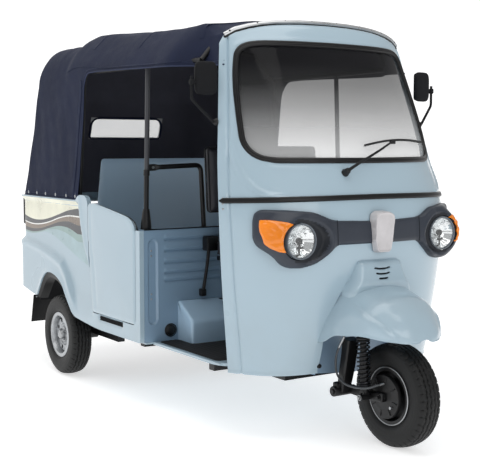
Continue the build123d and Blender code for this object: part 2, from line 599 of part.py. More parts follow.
plate = box(-130, 130, TAIL_Y + 2, TAIL_Y + 5, PLATE_Z - 40, PLATE_Z + 40)
for h in plate_holes:
    plate -= h
emit("number_plate", plate)

# ---------------------------------------------------------------- wheels
def tyre_solid():
    w, r0, r1 = TYRE_W / 2, BEAD_R + 0.6, TYRE_R
    e = [
        Line((-38, 0, r0), (38, 0, r0)),
        Line((38, 0, r0), (41, 0, FLANGE_R + 2)),
        ThreePointArc((41, 0, FLANGE_R + 2), (w, 0, (FLANGE_R + r1) / 2 - 2), (w - 9, 0, r1 - 14)),
        ThreePointArc((w - 9, 0, r1 - 14), (w - 14, 0, r1 - 5.5), (w - 24, 0, r1 - 2.2)),
        ThreePointArc((w - 24, 0, r1 - 2.2), (0, 0, r1), (-w + 24, 0, r1 - 2.2)),
        ThreePointArc((-w + 24, 0, r1 - 2.2), (-w + 14, 0, r1 - 5.5), (-w + 9, 0, r1 - 14)),
        ThreePointArc((-w + 9, 0, r1 - 14), (-w, 0, (FLANGE_R + r1) / 2 - 2), (-41, 0, FLANGE_R + 2)),
        Line((-41, 0, FLANGE_R + 2), (-38, 0, r0)),
    ]
    return revolve(make_face(Wire(e)), axis=Axis.X)


def rim_solid(bore, disc_x):
    """Steel rim with its disc; disc_x is the disc's place across the rim."""
    b = BEAD_R
    prof = [(-RIM_HALF, b - 7), (-RIM_HALF, FLANGE_R), (-RIM_HALF + 4.5, FLANGE_R), (-RIM_HALF + 4.5, b),
            (RIM_HALF - 4.5, b), (RIM_HALF - 4.5, FLANGE_R), (RIM_HALF, FLANGE_R), (RIM_HALF, b - 7)]
    ring = revolve(make_face(Polyline([Vector(x, 0, z) for x, z in prof], close=True)), axis=Axis.X)
    disc = Pos(disc_x, 0, 0) * Rot(0, 90, 0) * Cylinder(b - 6.5, 8)
    hub = Pos(disc_x, 0, 0) * Rot(0, 90, 0) * Cylinder(40, 30)
    whole = ring + disc + hub - Rot(0, 90, 0) * Cylinder(bore, 400)
    for i in range(4):
        a = math.radians(45 + 90 * i)
        whole -= Pos(disc_x, 27 * math.cos(a), 27 * math.sin(a)) * Rot(0, 90, 0) * Cylinder(5, 60)
    return whole


AXLE_R = 14.0
tyre = tyre_solid()
emit("rear_tyre_right", Pos(-TRACK_HALF, WHEELBASE, TYRE_R) * tyre)
emit("rear_tyre_left", Pos(TRACK_HALF, WHEELBASE, TYRE_R) * tyre)
emit("rear_rim_right", Pos(-TRACK_HALF, WHEELBASE, TYRE_R) * rim_solid(AXLE_R + 0.3, -6))
emit("rear_rim_left", Pos(TRACK_HALF, WHEELBASE, TYRE_R) * rim_solid(AXLE_R + 0.3, 6))
emit("front_tyre", Pos(0, 0, TYRE_R) * tyre)
emit("front_rim", Pos(0, 0, TYRE_R) * rim_solid(AXLE_R + 0.3, 12))

# ---------------------------------------------------------------- steering and front suspension
LEG_X = -112.0
column = rod(on_steer(452), on_steer(1010), 20) - box(-60, 60, 0, 600, 985, 1100)
crown = box(LEG_X - 20, 30, 90, 160, 430, 470)
shock_head = box(LEG_X - 22, LEG_X + 22, 40, 160, 452, 480)
leg = Plane(origin=(LEG_X, 191, 205), z_dir=(0, -42, 200)) * Pos(0, 0, 118) * Box(38, 44, 240)
pivot_tube = rod((-160, 200, 196), (-66, 200, 196), 21)
fork = column + crown + shock_head + leg + pivot_tube
fork = max(fork.solids(), key=lambda q: q.volume)
fork -= rod((-160, 200, 196), (-66 + 30, 200, 196), 9) - box(-400, -140, -500, 500, 0, 500)
emit("steering_fork", max(fork.solids(), key=lambda q: q.volume))

link = box(-90, -70, -22, 176, 184, 222)
link = link + rod((-134, 62, 196), (-70, 62, 196), 13)
link = link + rod((-70, 0, TYRE_R), (36, 0, TYRE_R), AXLE_R)
link = link + Pos(-61, 0, TYRE_R) * Rot(0, 90, 0) * Cylinder(86, 18)
emit("front_link_arm", max(link.solids(), key=lambda q: q.volume))

shock = rod((LEG_X, 62, 212), (LEG_X, 74, 440), 10)
spring_can = rod((LEG_X, 63.5, 240), (LEG_X, 73.5, 430), 27)
shock = (shock + spring_can) & box(-300, 0, 0, 200, 210.5, 451)
emit("front_damper", shock)

hose = bent_pipe([(-142, 150, 425), (-150, 200, 345), (-152, 190, 262), (-154, 130, 240), (-152, 40, 236), (-104, 0, 252), (-71, -6, 256)],
                 [40, 24, 24, 24, 16], 4.5)
emit("brake_hose", hose)

HB_Z = 985.0
bx, by, bz = on_steer(HB_Z)
bar = rod((-90, by + 20, bz + 18), (90, by + 20, bz + 18), 11)
bar = bar + bent_pipe([(-90, by + 20, bz + 18), (-158, by + 34, bz + 20), (-226, by + 146, bz + 6)], [36], 11)
bar = bar + bent_pipe([(90, by + 20, bz + 18), (158, by + 34, bz + 20), (226, by + 146, bz + 6)], [36], 11)
bar = bar + box(-45, 45, by - 20, by + 32, bz + 0.2, bz + 34)
for s in (-1, 1):
    bar = bar + rod((s * 182, by + 73.5, bz + 15), (s * 225, by + 144.4, bz + 6.2), 16)
emit("handlebar", max(bar.solids(), key=lambda q: q.volume))
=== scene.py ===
import json
import math
import bpy
import bmesh
import numpy as np
from mathutils import Vector, Matrix


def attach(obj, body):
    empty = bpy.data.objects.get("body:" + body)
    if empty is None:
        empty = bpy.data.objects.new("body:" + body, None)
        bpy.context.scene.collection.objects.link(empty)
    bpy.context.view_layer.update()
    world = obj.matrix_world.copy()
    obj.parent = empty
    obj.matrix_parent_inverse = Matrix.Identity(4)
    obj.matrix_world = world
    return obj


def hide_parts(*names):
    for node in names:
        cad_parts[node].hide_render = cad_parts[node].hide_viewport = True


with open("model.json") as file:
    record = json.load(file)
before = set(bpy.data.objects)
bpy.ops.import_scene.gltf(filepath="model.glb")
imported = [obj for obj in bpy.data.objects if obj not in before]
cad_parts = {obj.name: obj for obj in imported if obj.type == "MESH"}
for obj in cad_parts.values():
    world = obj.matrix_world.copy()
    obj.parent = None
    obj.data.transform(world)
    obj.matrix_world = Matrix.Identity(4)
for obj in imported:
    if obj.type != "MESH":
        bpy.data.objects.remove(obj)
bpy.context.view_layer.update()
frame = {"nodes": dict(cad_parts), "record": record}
NODES = frame["nodes"]
FY = -1.141          # the front axle's place along the vehicle, metres
scene = bpy.context.scene
scene.view_settings.view_transform = "Standard"
scene.view_settings.look = "None"
scene.view_settings.exposure = 0.0

# ------------------------------------------------------------------ camera (photo's angle)
cam_data = bpy.data.cameras.new("Camera")
cam_data.sensor_fit = "HORIZONTAL"
cam_data.sensor_width = 36.0
cam_data.lens = 77.65
cam = bpy.data.objects.new("Camera", cam_data)
cam.location = (-2.6728, -4.1333, 1.1682)
cam.rotation_euler = (math.radians(90 - 4.86), 0.0, math.radians(-33.01))
scene.collection.objects.link(cam)
scene.camera = cam


# ------------------------------------------------------------------ node helpers for materials
class Mat:
    """Small wrapper that adds shader nodes and links."""

    def __init__(self, name):
        self.m = bpy.data.materials.new(name)
        self.m.use_nodes = True
        self.t = self.m.node_tree
        self.t.nodes.clear()
        self.out = self.t.nodes.new("ShaderNodeOutputMaterial")
        self.p = self.t.nodes.new("ShaderNodeBsdfPrincipled")
        self.t.links.new(self.p.outputs[0], self.out.inputs[0])
        self.obj = None

    def n(self, kind, **kw):
        node = self.t.nodes.new(kind)
        ins = kw.pop("ins", {})
        for k, v in kw.items():
            setattr(node, k, v)
        for k, v in ins.items():
            if hasattr(v, "is_output"):
                self.t.links.new(v, node.inputs[k])
            else:
                node.inputs[k].default_value = v
        return node

    def co(self, scale=(1, 1, 1), rot=(0, 0, 0)):
        if self.obj is None:
            self.obj = self.n("ShaderNodeTexCoord")
        m = self.n("ShaderNodeMapping", ins={"Vector": self.obj.outputs["Object"]})
        m.inputs["Scale"].default_value = scale
        m.inputs["Rotation"].default_value = rot
        return m.outputs[0]

    def noise(self, scale, detail=3.0, rough=0.55, stretch=(1, 1, 1), dist=0.0):
        k = self.n("ShaderNodeTexNoise", ins={"Vector": self.co(stretch), "Scale": scale, "Detail": detail, "Roughness": rough, "Distortion": dist})
        return k.outputs["Fac"]

    def voronoi(self, scale, stretch=(1, 1, 1), feature="F1", out="Distance"):
        k = self.n("ShaderNodeTexVoronoi", feature=feature, ins={"Vector": self.co(stretch), "Scale": scale})
        return k.outputs[out]

    def wave(self, scale, axis="X", rot=(0, 0, 0), dist=0.0, stretch=(1, 1, 1)):
        k = self.n("ShaderNodeTexWave", wave_type="BANDS", bands_direction=axis, ins={"Vector": self.co(stretch, rot), "Scale": scale, "Distortion": dist, "Detail": 1.0})
        return k.outputs["Fac"]

    def ramp(self, fac, stops, interp="LINEAR"):
        r = self.n("ShaderNodeValToRGB", ins={"Fac": fac})
        r.color_ramp.interpolation = interp
        while len(r.color_ramp.elements) > 1:
            r.color_ramp.elements.remove(r.color_ramp.elements[-1])
        r.color_ramp.elements[0].position = stops[0][0]
        r.color_ramp.elements[0].color = (*stops[0][1], 1) if len(stops[0][1]) == 3 else stops[0][1]
        for p, c in stops[1:]:
            e = r.color_ramp.elements.new(p)
            e.color = (*c, 1) if len(c) == 3 else c
        return r.outputs["Color"]

    def span(self, fac, lo, hi, a=0.0, b=1.0):
        k = self.n("ShaderNodeMapRange", ins={0: fac, 1: lo, 2: hi, 3: a, 4: b})
        return k.outputs[0]

    def math(self, op, a, b=0.0):
        k = self.n("ShaderNodeMath", operation=op)
        for i, v in enumerate((a, b)):
            if hasattr(v, "is_output"):
                self.t.links.new(v, k.inputs[i])
            else:
                k.inputs[i].default_value = v
        return k.outputs[0]

    def mix(self, fac, a, b):
        k = self.n("ShaderNodeMix", data_type="RGBA")
        for i, v in ((0, fac), (6, a), (7, b)):
            if hasattr(v, "is_output"):
                self.t.links.new(v, k.inputs[i])
            else:
                k.inputs[i].default_value = (*v, 1) if isinstance(v, tuple) and len(v) == 3 else v
        return k.outputs[2]

    def bump(self, height, strength=0.3, dist=0.001, under=None):
        k = self.n("ShaderNodeBump", ins={"Height": height, "Strength": strength, "Distance": dist})
        if under is not None:
            self.t.links.new(under, k.inputs["Normal"])
        return k.outputs[0]

    def set(self, **kw):
        names = {"color": "Base Color", "rough": "Roughness", "metal": "Metallic", "normal": "Normal", "coat": "Coat Weight",
                 "coat_rough": "Coat Roughness", "sheen": "Sheen Weight", "sheen_rough": "Sheen Roughness", "ior": "IOR",
                 "trans": "Transmission Weight", "alpha": "Alpha", "spec": "Specular IOR Level", "emit": "Emission Color", "emit_k": "Emission Strength",
                 "sub": "Subsurface Weight"}
        for k, v in kw.items():
            s = self.p.inputs[names[k]]
            if hasattr(v, "is_output"):
                self.t.links.new(v, s)
            elif isinstance(v, tuple) and len(v) == 3 and s.type == "RGBA":
                s.default_value = (*v, 1)
            else:
                s.default_value = v
        return self


def lin(h):
    """sRGB hex to linear colour."""
    h = h.lstrip("#")
    out = []
    for i in (0, 2, 4):
        c = int(h[i:i + 2], 16) / 255
        out.append(c / 12.92 if c <= 0.04045 else ((c + 0.055) / 1.055) ** 2.4)
    return tuple(out)


def scaled(c, k):
    return tuple(min(1.0, v * k) for v in c)


def paint(name, hexc, rough=0.28, coat=0.6, dirt=0.25, metal=0.0):
    m = Mat(name)
    c = lin(hexc)
    n1 = m.noise(1.7, 4.0)
    n2 = m.noise(3.5, 2.0)
    col = m.mix(m.span(n1, 0.2, 0.85), scaled(c, 0.985), scaled(c, 1.005))
    # faint road film low on the panels
    z = m.n("ShaderNodeSeparateXYZ", ins={0: m.co()}).outputs[2]
    low = m.span(z, 0.62, 0.22, 0.0, 1.0)
    film = m.math("MULTIPLY", low, m.span(m.noise(5.0, 4.0, 0.55), 0.35, 0.85))
    col = m.mix(m.math("MULTIPLY", film, dirt), col, scaled(lin("#8f8a80"), 0.9))
    m.set(color=col, rough=m.span(n2, 0.1, 0.9, rough - 0.012, rough + 0.012), coat=coat, coat_rough=0.06, metal=metal, ior=1.5)
    m.set(normal=m.bump(m.noise(1.4, 1.0), 0.02, 0.01))
    return m.m


def metal(name, hexc, rough=0.35, metallic=1.0, brushed=None, spots=0.0, bump=0.15):
    m = Mat(name)
    c = lin(hexc)
    n1 = m.noise(14.0, 5.0, 0.6)
    col = m.mix(m.span(n1, 0.3, 0.75), scaled(c, 0.86), scaled(c, 1.06))
    if spots:
        s = m.span(m.noise(60.0, 6.0, 0.7), 0.6, 0.72)
        col = m.mix(m.math("MULTIPLY", s, spots), col, lin("#3a3028"))
    m.set(color=col, metal=metallic)
    if brushed:
        b = m.noise(90.0, 2.0, 0.5, stretch=brushed)
        m.set(rough=m.span(b, 0.3, 0.7, rough - 0.07, rough + 0.08), normal=m.bump(b, bump, 0.0004))
    else:
        b = m.noise(240.0, 3.0, 0.6)
        m.set(rough=m.span(n1, 0.3, 0.7, rough - 0.05, rough + 0.08), normal=m.bump(b, bump, 0.0005))
    return m.m


def plastic(name, hexc, rough=0.5, grain=520.0, bump=0.25, spec=0.4, dust=0.0, coat=0.0):
    m = Mat(name)
    c = lin(hexc)
    n1 = m.noise(6.0, 4.0, 0.6)
    col = m.mix(m.span(n1, 0.3, 0.75), scaled(c, 0.85), scaled(c, 1.15))
    if dust:
        d = m.span(m.noise(22.0, 6.0, 0.7), 0.55, 0.8)
        col = m.mix(m.math("MULTIPLY", d, dust), col, lin("#77716a"))
    v = m.voronoi(grain)
    m.set(color=col, rough=m.span(n1, 0.3, 0.7, rough - 0.05, rough + 0.06), spec=spec, coat=coat, coat_rough=0.15,
          normal=m.bump(v, bump, 0.0004))
    return m.m


def cloth(name, hexc, inner=None):
    """Coated canvas: two crossed thread directions, soft creases and a dull sheen."""
    m = Mat(name)
    c = lin(hexc)
    w1 = m.wave(260.0, "Y", dist=0.4)
    w2 = m.wave(260.0, "Z", dist=0.4)
    w3 = m.wave(260.0, "X", dist=0.4)
    weave = m.math("ADD", m.math("MULTIPLY", w1, w2), m.math("MULTIPLY", w3, 0.6))
    big = m.noise(3.2, 4.0, 0.6)
    mid = m.noise(17.0, 4.0, 0.6)
    col = m.mix(m.span(big, 0.3, 0.7), scaled(c, 0.88), scaled(c, 1.12))
    col = m.mix(m.span(mid, 0.5, 0.85, 0.0, 0.18), col, scaled(c, 1.5))
    col = m.mix(m.span(weave, 0.0, 1.4, 0.0, 0.10), col, scaled(c, 0.55))
    if inner:
        g = m.n("ShaderNodeNewGeometry")
        col = m.mix(g.outputs["Backfacing"], col, lin(inner))
    m.set(color=col, rough=m.span(mid, 0.3, 0.7, 0.62, 0.74), sheen=0.0, sheen_rough=0.5, spec=0.12)
    soft = m.bump(m.noise(6.0, 3.0, 0.5), 0.18, 0.02)
    m.set(normal=m.bump(weave, 0.22, 0.0008, soft))
    return m.m


def vinyl(name, hexc, rough=0.42, scale=260.0):
    m = Mat(name)
    c = lin(hexc)
    n1 = m.noise(5.0, 4.0, 0.6)
    v = m.voronoi(scale, feature="DISTANCE_TO_EDGE")
    col = m.mix(m.span(n1, 0.3, 0.75), scaled(c, 0.8), scaled(c, 1.25))
    col = m.mix(m.span(v, 0.0, 0.12, 0.35, 0.0), col, scaled(c, 0.5))
    m.set(color=col, rough=m.span(n1, 0.3, 0.7, rough - 0.05, rough + 0.07), spec=0.45,
          normal=m.bump(m.span(v, 0.0, 0.2), 0.35, 0.0006, m.bump(m.noise(30.0, 3.0), 0.12, 0.004)))
    return m.m


def rubber(name, hexc="#17181a", rough=0.62, dust=0.25):
    m = Mat(name)
    c = lin(hexc)
    n1 = m.noise(7.0, 5.0, 0.65)
    n2 = m.noise(130.0, 4.0, 0.65)
    col = m.mix(m.span(n1, 0.3, 0.75), scaled(c, 0.8), scaled(c, 1.3))
    col = m.mix(m.math("MULTIPLY", m.span(n2, 0.5, 0.85), dust), col, lin("#4a4742"))
    m.set(color=col, rough=m.span(n2, 0.3, 0.7, rough - 0.06, rough + 0.08), spec=0.35, normal=m.bump(n2, 0.25, 0.0008))
    return m.m


def glass(name, tint=(0.93, 0.96, 0.96), rough=0.0, alpha=0.16):
    m = Mat(name)
    n = m.noise(3.0, 2.0)
    m.set(color=m.mix(m.span(n, 0.3, 0.7), scaled(tint, 0.97), tint), rough=rough, alpha=alpha, ior=1.5, spec=0.5, coat=0.0)
    m.set(normal=m.bump(m.noise(1.6, 1.0), 0.03, 0.004))
    return m.m


def pane(name):
    """Windscreen with painted light and shade: dark at the top, clearer and paler towards the bottom."""
    m = Mat(name)
    z = m.n("ShaderNodeSeparateXYZ", ins={0: m.co()}).outputs[2]
    t = m.span(z, 1.14, 1.50)
    n = m.noise(2.5, 2.0)
    col = m.ramp(t, [(0.0, (0.66, 0.67, 0.675)), (0.30, (0.34, 0.345, 0.35)), (0.50, (0.15, 0.152, 0.155)), (0.75, (0.035, 0.036, 0.037)), (1.0, (0.010, 0.010, 0.011))])
    al = m.math("ADD", m.span(t, 0.0, 1.0, 0.42, 0.64), m.span(n, 0.3, 0.7, -0.01, 0.01))
    m.set(color=col, rough=0.03, alpha=al, ior=1.5, spec=0.12, normal=m.bump(m.noise(1.6, 1.0), 0.03, 0.004))
    return m.m


def lens(name, tint, rough=0.03, ribs=None, dens=1.0):
    m = Mat(name)
    n = m.noise(8.0, 2.0)
    m.set(color=m.mix(m.span(n, 0.3, 0.7), scaled(tint, 0.9), tint), rough=rough, trans=1.0, ior=1.45)
    if ribs:
        m.set(normal=m.bump(m.wave(ribs, "X"), 0.3, 0.002))
    return m.m


M = {}
M["body_paint"] = paint("body_paint", "#a4bac7")
M["black_metal"] = metal("black_metal", "#0d0d0f", 0.40, 0.2, spots=0.06)
M["grey_metal"] = metal("grey_metal", "#4b4c50", 0.42, 0.5)
M["canopy_cloth"] = cloth("canopy_cloth", "#22283d")
M["window_glass"] = pane("window_glass")
M["clear_sheet"] = glass("clear_sheet", (0.94, 0.95, 0.95), 0.12, 0.35)
M["black_rubber"] = rubber("black_rubber", "#0e0e10", 0.36, 0.05)
M["black_plastic"] = plastic("black_plastic", "#121315", 0.44)
M["dark_plastic"] = plastic("dark_plastic", "#2c323d", 0.42, bump=0.10, spec=0.45)
# darker copy of the surround's plastic for the lamp bowls: painted shade
M["painted_shade_bowl_plastic"] = plastic("painted_shade_bowl_plastic", "#1b1f26", 0.46, bump=0.10, spec=0.35)
M["lamp_glass"] = glass("lamp_glass", (0.95, 0.97, 0.98), 0.01, 0.10)
M["amber_plastic"] = plastic("amber_plastic", "#f08403", 0.18, grain=90.0, bump=0.2, spec=0.5, coat=0.4)
M["silver_metal"] = metal("silver_metal", "#cfccce", 0.40, 0.30, bump=0.03)
M["trim_metal"] = metal("trim_metal", "#c9cbcd", 0.30, 0.85, bump=0.05)
M["lamp_mirror"] = metal("lamp_mirror", "#eceff0", 0.10, 1.0, bump=0.02)
M["lamp_ring"] = plastic("lamp_ring", "#6b727a", 0.35, bump=0.05)
M["red_plastic"] = plastic("red_plastic", "#9c130e", 0.2, grain=120.0, bump=0.3, spec=0.6, coat=0.5)
M["plate_metal"] = plastic("plate_metal", "#e2e1da", 0.4, spec=0.4)
M["seat_vinyl"] = vinyl("seat_vinyl", "#26272d")
M["cast_metal"] = metal("cast_metal", "#6b6d70", 0.6, 0.7, spots=0.3, bump=0.4)
M["wheel_steel"] = metal("wheel_steel", "#b9bcbf", 0.36, 0.85)
M["tyre_rubber"] = rubber("tyre_rubber", "#0f1011", 0.55, 0.08)
M["hose_rubber"] = rubber("hose_rubber", "#4c4f52", 0.55, 0.1)
M["spring_steel"] = metal("spring_steel", "#2c2d30", 0.28, 0.7)
M["mat_rubber"] = rubber("mat_rubber", "#1a1a1c", 0.75, 0.35)
M["chrome"] = metal("chrome", "#e6e8ea", 0.08, 1.0, bump=0.02)
M["zinc"] = metal("zinc", "#a9abad", 0.35, 1.0)
M["mirror_glass"] = metal("mirror_glass", "#dfe5e8", 0.03, 1.0, bump=0.01)
M["inner_dark"] = plastic("inner_dark", "#17181b", 0.8, spec=0.2)
# darker copy of the body paint for shaded inside panels: painted shade
M["paint_shade"] = paint("paint_shade", "#7f9ab2", 0.35, 0.4)
# lighter, bluer copy of the body paint for the inside panels: painted light
M["painted_light_paint"] = paint("painted_light_paint", "#b2d0e8", 0.35, 0.4)
M["cream_film"] = plastic("cream_film", "#ecebd6", 0.3, grain=300.0, bump=0.03, coat=0.4)
M["ink_film"] = plastic("ink_film", "#2d2f36", 0.3, grain=300.0, bump=0.03, coat=0.4)
M["brown_film"] = plastic("brown_film", "#7d6d5e", 0.3, grain=300.0, bump=0.03, coat=0.4)
M["white_film"] = plastic("white_film", "#f3f3ee", 0.3, grain=300.0, bump=0.03, coat=0.4)
M["sage_film"] = plastic("sage_film", "#8da8a6", 0.3, grain=300.0, bump=0.03, coat=0.4)
M["teal_film"] = plastic("teal_film", "#9fb9c0", 0.3, grain=300.0, bump=0.03, coat=0.4)
M["canopy_lining"] = cloth("canopy_lining", "#4c4c56")
M["canopy_piping"] = cloth("canopy_piping", "#343b52")
M["thread"] = plastic("thread", "#4a526b", 0.7, spec=0.2)


# ------------------------------------------------------------------ mesh helpers
class Geo:
    """Collects vertices and faces, in metres from the front axle, then becomes one object."""

    def __init__(self):
        self.v, self.f, self.m, self.k = [], [], [], 0

    def add(self, verts, faces, mat=0):
        verts = np.asarray(verts, float).reshape(-1, 3)
        base = self.k
        self.v.append(verts)
        self.f += [tuple(int(i) + base for i in q) for q in faces]
        self.m += [mat] * len(faces)
        self.k += len(verts)
        return base

    def grid(self, P, mat=0, cu=False, cv=False, flip=False, keep=None):
        P = np.asarray(P, float)
        nu, nv = P.shape[:2]
        F = []
        for i in range(nu if cu else nu - 1):
            for j in range(nv if cv else nv - 1):
                if keep is not None and not keep[i, j]:
                    continue
                a, b = (i + 1) % nu, (j + 1) % nv
                q = (i * nv + j, a * nv + j, a * nv + b, i * nv + b)
                F.append(q[::-1] if flip else q)
        self.add(P.reshape(-1, 3), F, mat)

    def cap(self, ring, mat=0, flip=False):
        ring = np.asarray(ring, float)
        c = ring.mean(0)
        n = len(ring)
        F = [(i, (i + 1) % n, n) for i in range(n)]
        self.add(np.vstack([ring, c]), [q[::-1] if flip else q for q in F], mat)

    def merge(self, other, mat=None):
        for vs in [np.concatenate(other.v)]:
            base = self.add(vs, [])
        self.f += [tuple(i + base for i in q) for q in other.f]
        self.m += other.m if mat is None else [mat] * len(other.f)

    def points(self):
        return np.concatenate(self.v)


def clean(V, F, m, tol=1e-6):
    """Drop unused vertices and weld those closer than tol."""
    key = np.round(V / max(tol, 1e-9)).astype(np.int64)
    _, first, inv = np.unique(key, axis=0, return_index=True, return_inverse=True)
    inv = inv.reshape(-1)
    out, om = [], []
    for q, mm in zip(F, m):
        r = []
        for i in q:
            k = int(inv[i])
            if k not in r:
                r.append(k)
        if len(r) > 2:
            out.append(tuple(r))
            om.append(mm)
    W = V[first]
    used = np.zeros(len(W), bool)
    for q in out:
        for i in q:
            used[i] = True
    remap = np.cumsum(used) - 1
    return W[used], [tuple(int(remap[i]) for i in q) for q in out], om


def make(name, geo, mats, body="body", replaces=(), angle=38, weld=2e-5, thick=None, offset=-1.0, bevel=None, outward=True, rim=True):
    V, F, m = clean(np.concatenate(geo.v), geo.f, geo.m, weld)
    V = V.copy()
    V[:, 1] += FY
    me = bpy.data.meshes.new(name)
    me.from_pydata(V.tolist(), [], F)
    for mt in mats:
        me.materials.append(M[mt] if isinstance(mt, str) else mt)
    me.polygons.foreach_set("material_index", m)
    me.update()
    ob = bpy.data.objects.new(name, me)
    scene.collection.objects.link(ob)
    if outward:
        bm = bmesh.new()
        bm.from_mesh(me)
        bmesh.ops.recalc_face_normals(bm, faces=bm.faces)
        bm.to_mesh(me)
        bm.free()
    if bevel:
        md = ob.modifiers.new("bevel", "BEVEL")
        md.width, md.segments, md.limit_method, md.angle_limit = bevel[0], bevel[1], "ANGLE", math.radians(30)
        md.harden_normals = False
    if thick:
        md = ob.modifiers.new("wall", "SOLIDIFY")
        md.thickness, md.offset, md.use_rim, md.use_even_offset = thick, offset, rim, False
    if bevel or thick:
        flatten(ob)
    me = ob.data
    me.polygons.foreach_set("use_smooth", [True] * len(me.polygons))
    me.set_sharp_from_angle(angle=math.radians(angle))
    me.update()
    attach(ob, body)
    if replaces:
        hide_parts(*replaces)
    return ob


def flatten(ob):
    dg = bpy.context.evaluated_depsgraph_get()
    me = bpy.data.meshes.new_from_object(ob.evaluated_get(dg))
    ob.modifiers.clear()
    old = ob.data
    ob.data = me
    bpy.data.meshes.remove(old)


def lathe(geo, prof, origin, axis="X", n=48, mat=0, flip=False, arc=None):
    """Turn (along, radius) points round an axis through origin; arc in degrees limits the turn."""
    prof = np.asarray(prof, float)
    full = arc is None
    a = np.linspace(0, 2 * np.pi, n, endpoint=False) if full else np.radians(np.linspace(arc[0], arc[1], n))
    c, s = np.cos(a)[:, None], np.sin(a)[:, None]
    al, r = prof[:, 0][None, :] + 0 * c, prof[:, 1][None, :]
    if axis == "X":
        P = np.stack([al, r * c, r * s], -1)
    elif axis == "Y":
        P = np.stack([r * c, al, r * s], -1)
    else:
        P = np.stack([r * c, r * s, al], -1)
    geo.grid(P + np.array(origin, float), mat, cu=full, flip=flip)


def frames(path, up=None, closed=False):
    path = np.asarray(path, float)
    n = len(path)
    if closed:
        t = np.roll(path, -1, 0) - np.roll(path, 1, 0)
    else:
        t = np.gradient(path, axis=0)
    t /= np.linalg.norm(t, axis=1)[:, None]
    if up is not None:
        u = np.array(up, float) if np.ndim(up) == 2 else np.repeat(np.array([up], float), n, 0)
        s = np.cross(t, u)
        s /= np.maximum(np.linalg.norm(s, axis=1), 1e-9)[:, None]
        u = np.cross(s, t)
        return t, s, u
    s = np.zeros_like(path)
    a = np.cross(t[0], [0, 0, 1.0])
    if np.linalg.norm(a) < 1e-3:
        a = np.cross(t[0], [0, 1.0, 0])
    s[0] = a / np.linalg.norm(a)
    for i in range(1, n):
        v = s[i - 1] - t[i] * np.dot(s[i - 1], t[i])
        s[i] = v / np.linalg.norm(v)
    return t, s, np.cross(s, t)


def smooth_path(pts, n=40, closed=False):
    """Catmull-Rom points through a few given ones."""
    p = np.asarray(pts, float)
    if closed:
        q = np.vstack([p[-1], p, p[0], p[1]])
    else:
        q = np.vstack([2 * p[0] - p[1], p, 2 * p[-1] - p[-2]])
    seg = len(p) if closed else len(p) - 1
    out = []
    k = max(2, n // seg)
    for i in range(seg):
        a, b, c, d = q[i], q[i + 1], q[i + 2], q[i + 3]
        for j in range(k):
            t = j / k
            out.append(0.5 * ((2 * b) + (c - a) * t + (2 * a - 5 * b + 4 * c - d) * t * t + (3 * b - a - 3 * c + d) * t ** 3))
    if not closed:
        out.append(p[-1])
    return np.array(out)


def sweep(geo, path, prof, up=None, closed=False, mat=0, caps=True, scale=None, prof_closed=True):
    """Carry a flat outline (side, up) along a path."""
    path = np.asarray(path, float)
    prof = np.asarray(prof, float)
    t, s, u = frames(path, up, closed)
    k = np.ones(len(path)) if scale is None else np.asarray(scale, float)
    P = path[:, None, :] + (s[:, None, :] * prof[None, :, :1] + u[:, None, :] * prof[None, :, 1:2]) * k[:, None, None]
    geo.grid(P, mat, cu=closed, cv=prof_closed)
    if caps and not closed and prof_closed:
        geo.cap(P[0], mat)
        geo.cap(P[-1], mat, True)


def circle(r, n=12, squash=1.0):
    a = np.linspace(0, 2 * np.pi, n, endpoint=False)
    return np.stack([r * np.cos(a), r * squash * np.sin(a)], 1)


def pipe(geo, pts, r, n=12, mat=0, steps=None, closed=False, round_ends=False):
    path = smooth_path(pts, steps, closed) if steps else np.asarray(pts, float)
    sc = None
    if round_ends:
        d = np.linalg.norm(np.diff(path, axis=0), axis=1).cumsum()
        d = np.insert(d, 0, 0)
        e = np.minimum(d, d[-1] - d) / r
        sc = np.sqrt(np.clip(1 - (1 - np.clip(e, 0, 1)) ** 2, 0.02, 1))
    sweep(geo, path, circle(r, n), closed=closed, mat=mat, scale=sc)


def bend(pts, r, k=6):
    """Straight runs with rounded corners."""
    p = [np.array(q, float) for q in pts]
    out = [p[0]]
    for i in range(1, len(p) - 1):
        a, b, c = p[i - 1], p[i], p[i + 1]
        u, v = a - b, c - b
        lu, lv = np.linalg.norm(u), np.linalg.norm(v)
        u, v = u / lu, v / lv
        ang = math.acos(max(-1, min(1, float(np.dot(u, v)))))
        rr = r[i - 1] if isinstance(r, (list, tuple)) else r
        cut = min(rr / math.tan(ang / 2), 0.48 * lu, 0.48 * lv)
        s, e = b + u * cut, b + v * cut
        for j in range(k + 1):
            w = j / k
            out.append((1 - w) ** 2 * s + 2 * w * (1 - w) * b + w * w * e)
    out.append(p[-1])
    return np.array(out)


def block(geo, x0, x1, y0, y1, z0, z1, r=0.004, seg=2, mat=0, M4=None):
    """Box with rounded edges."""
    bm = bmesh.new()
    bmesh.ops.create_cube(bm, size=1.0)
    for v in bm.verts:
        v.co = Vector(((x0 + x1) / 2 + v.co.x * (x1 - x0), (y0 + y1) / 2 + v.co.y * (y1 - y0), (z0 + z1) / 2 + v.co.z * (z1 - z0)))
    r = min(r, 0.45 * min(abs(x1 - x0), abs(y1 - y0), abs(z1 - z0)))
    if r > 0:
        bmesh.ops.bevel(bm, geom=list(bm.edges) + list(bm.verts), offset=r, segments=seg, profile=0.5, affect="EDGES")
    if M4 is not None:
        bmesh.ops.transform(bm, matrix=M4, verts=bm.verts)
    bm.verts.index_update()
    V = np.array([v.co[:] for v in bm.verts])
    F = [[v.index for v in f.verts] for f in bm.faces]
    bm.free()
    geo.add(V, F, mat)


def turned(origin, rx=0, ry=0, rz=0):
    o = Vector(origin)
    return Matrix.Translation(o) @ Matrix.Rotation(math.radians(rz), 4, "Z") @ Matrix.Rotation(math.radians(ry), 4, "Y") @ Matrix.Rotation(math.radians(rx), 4, "X") @ Matrix.Translation(-o)


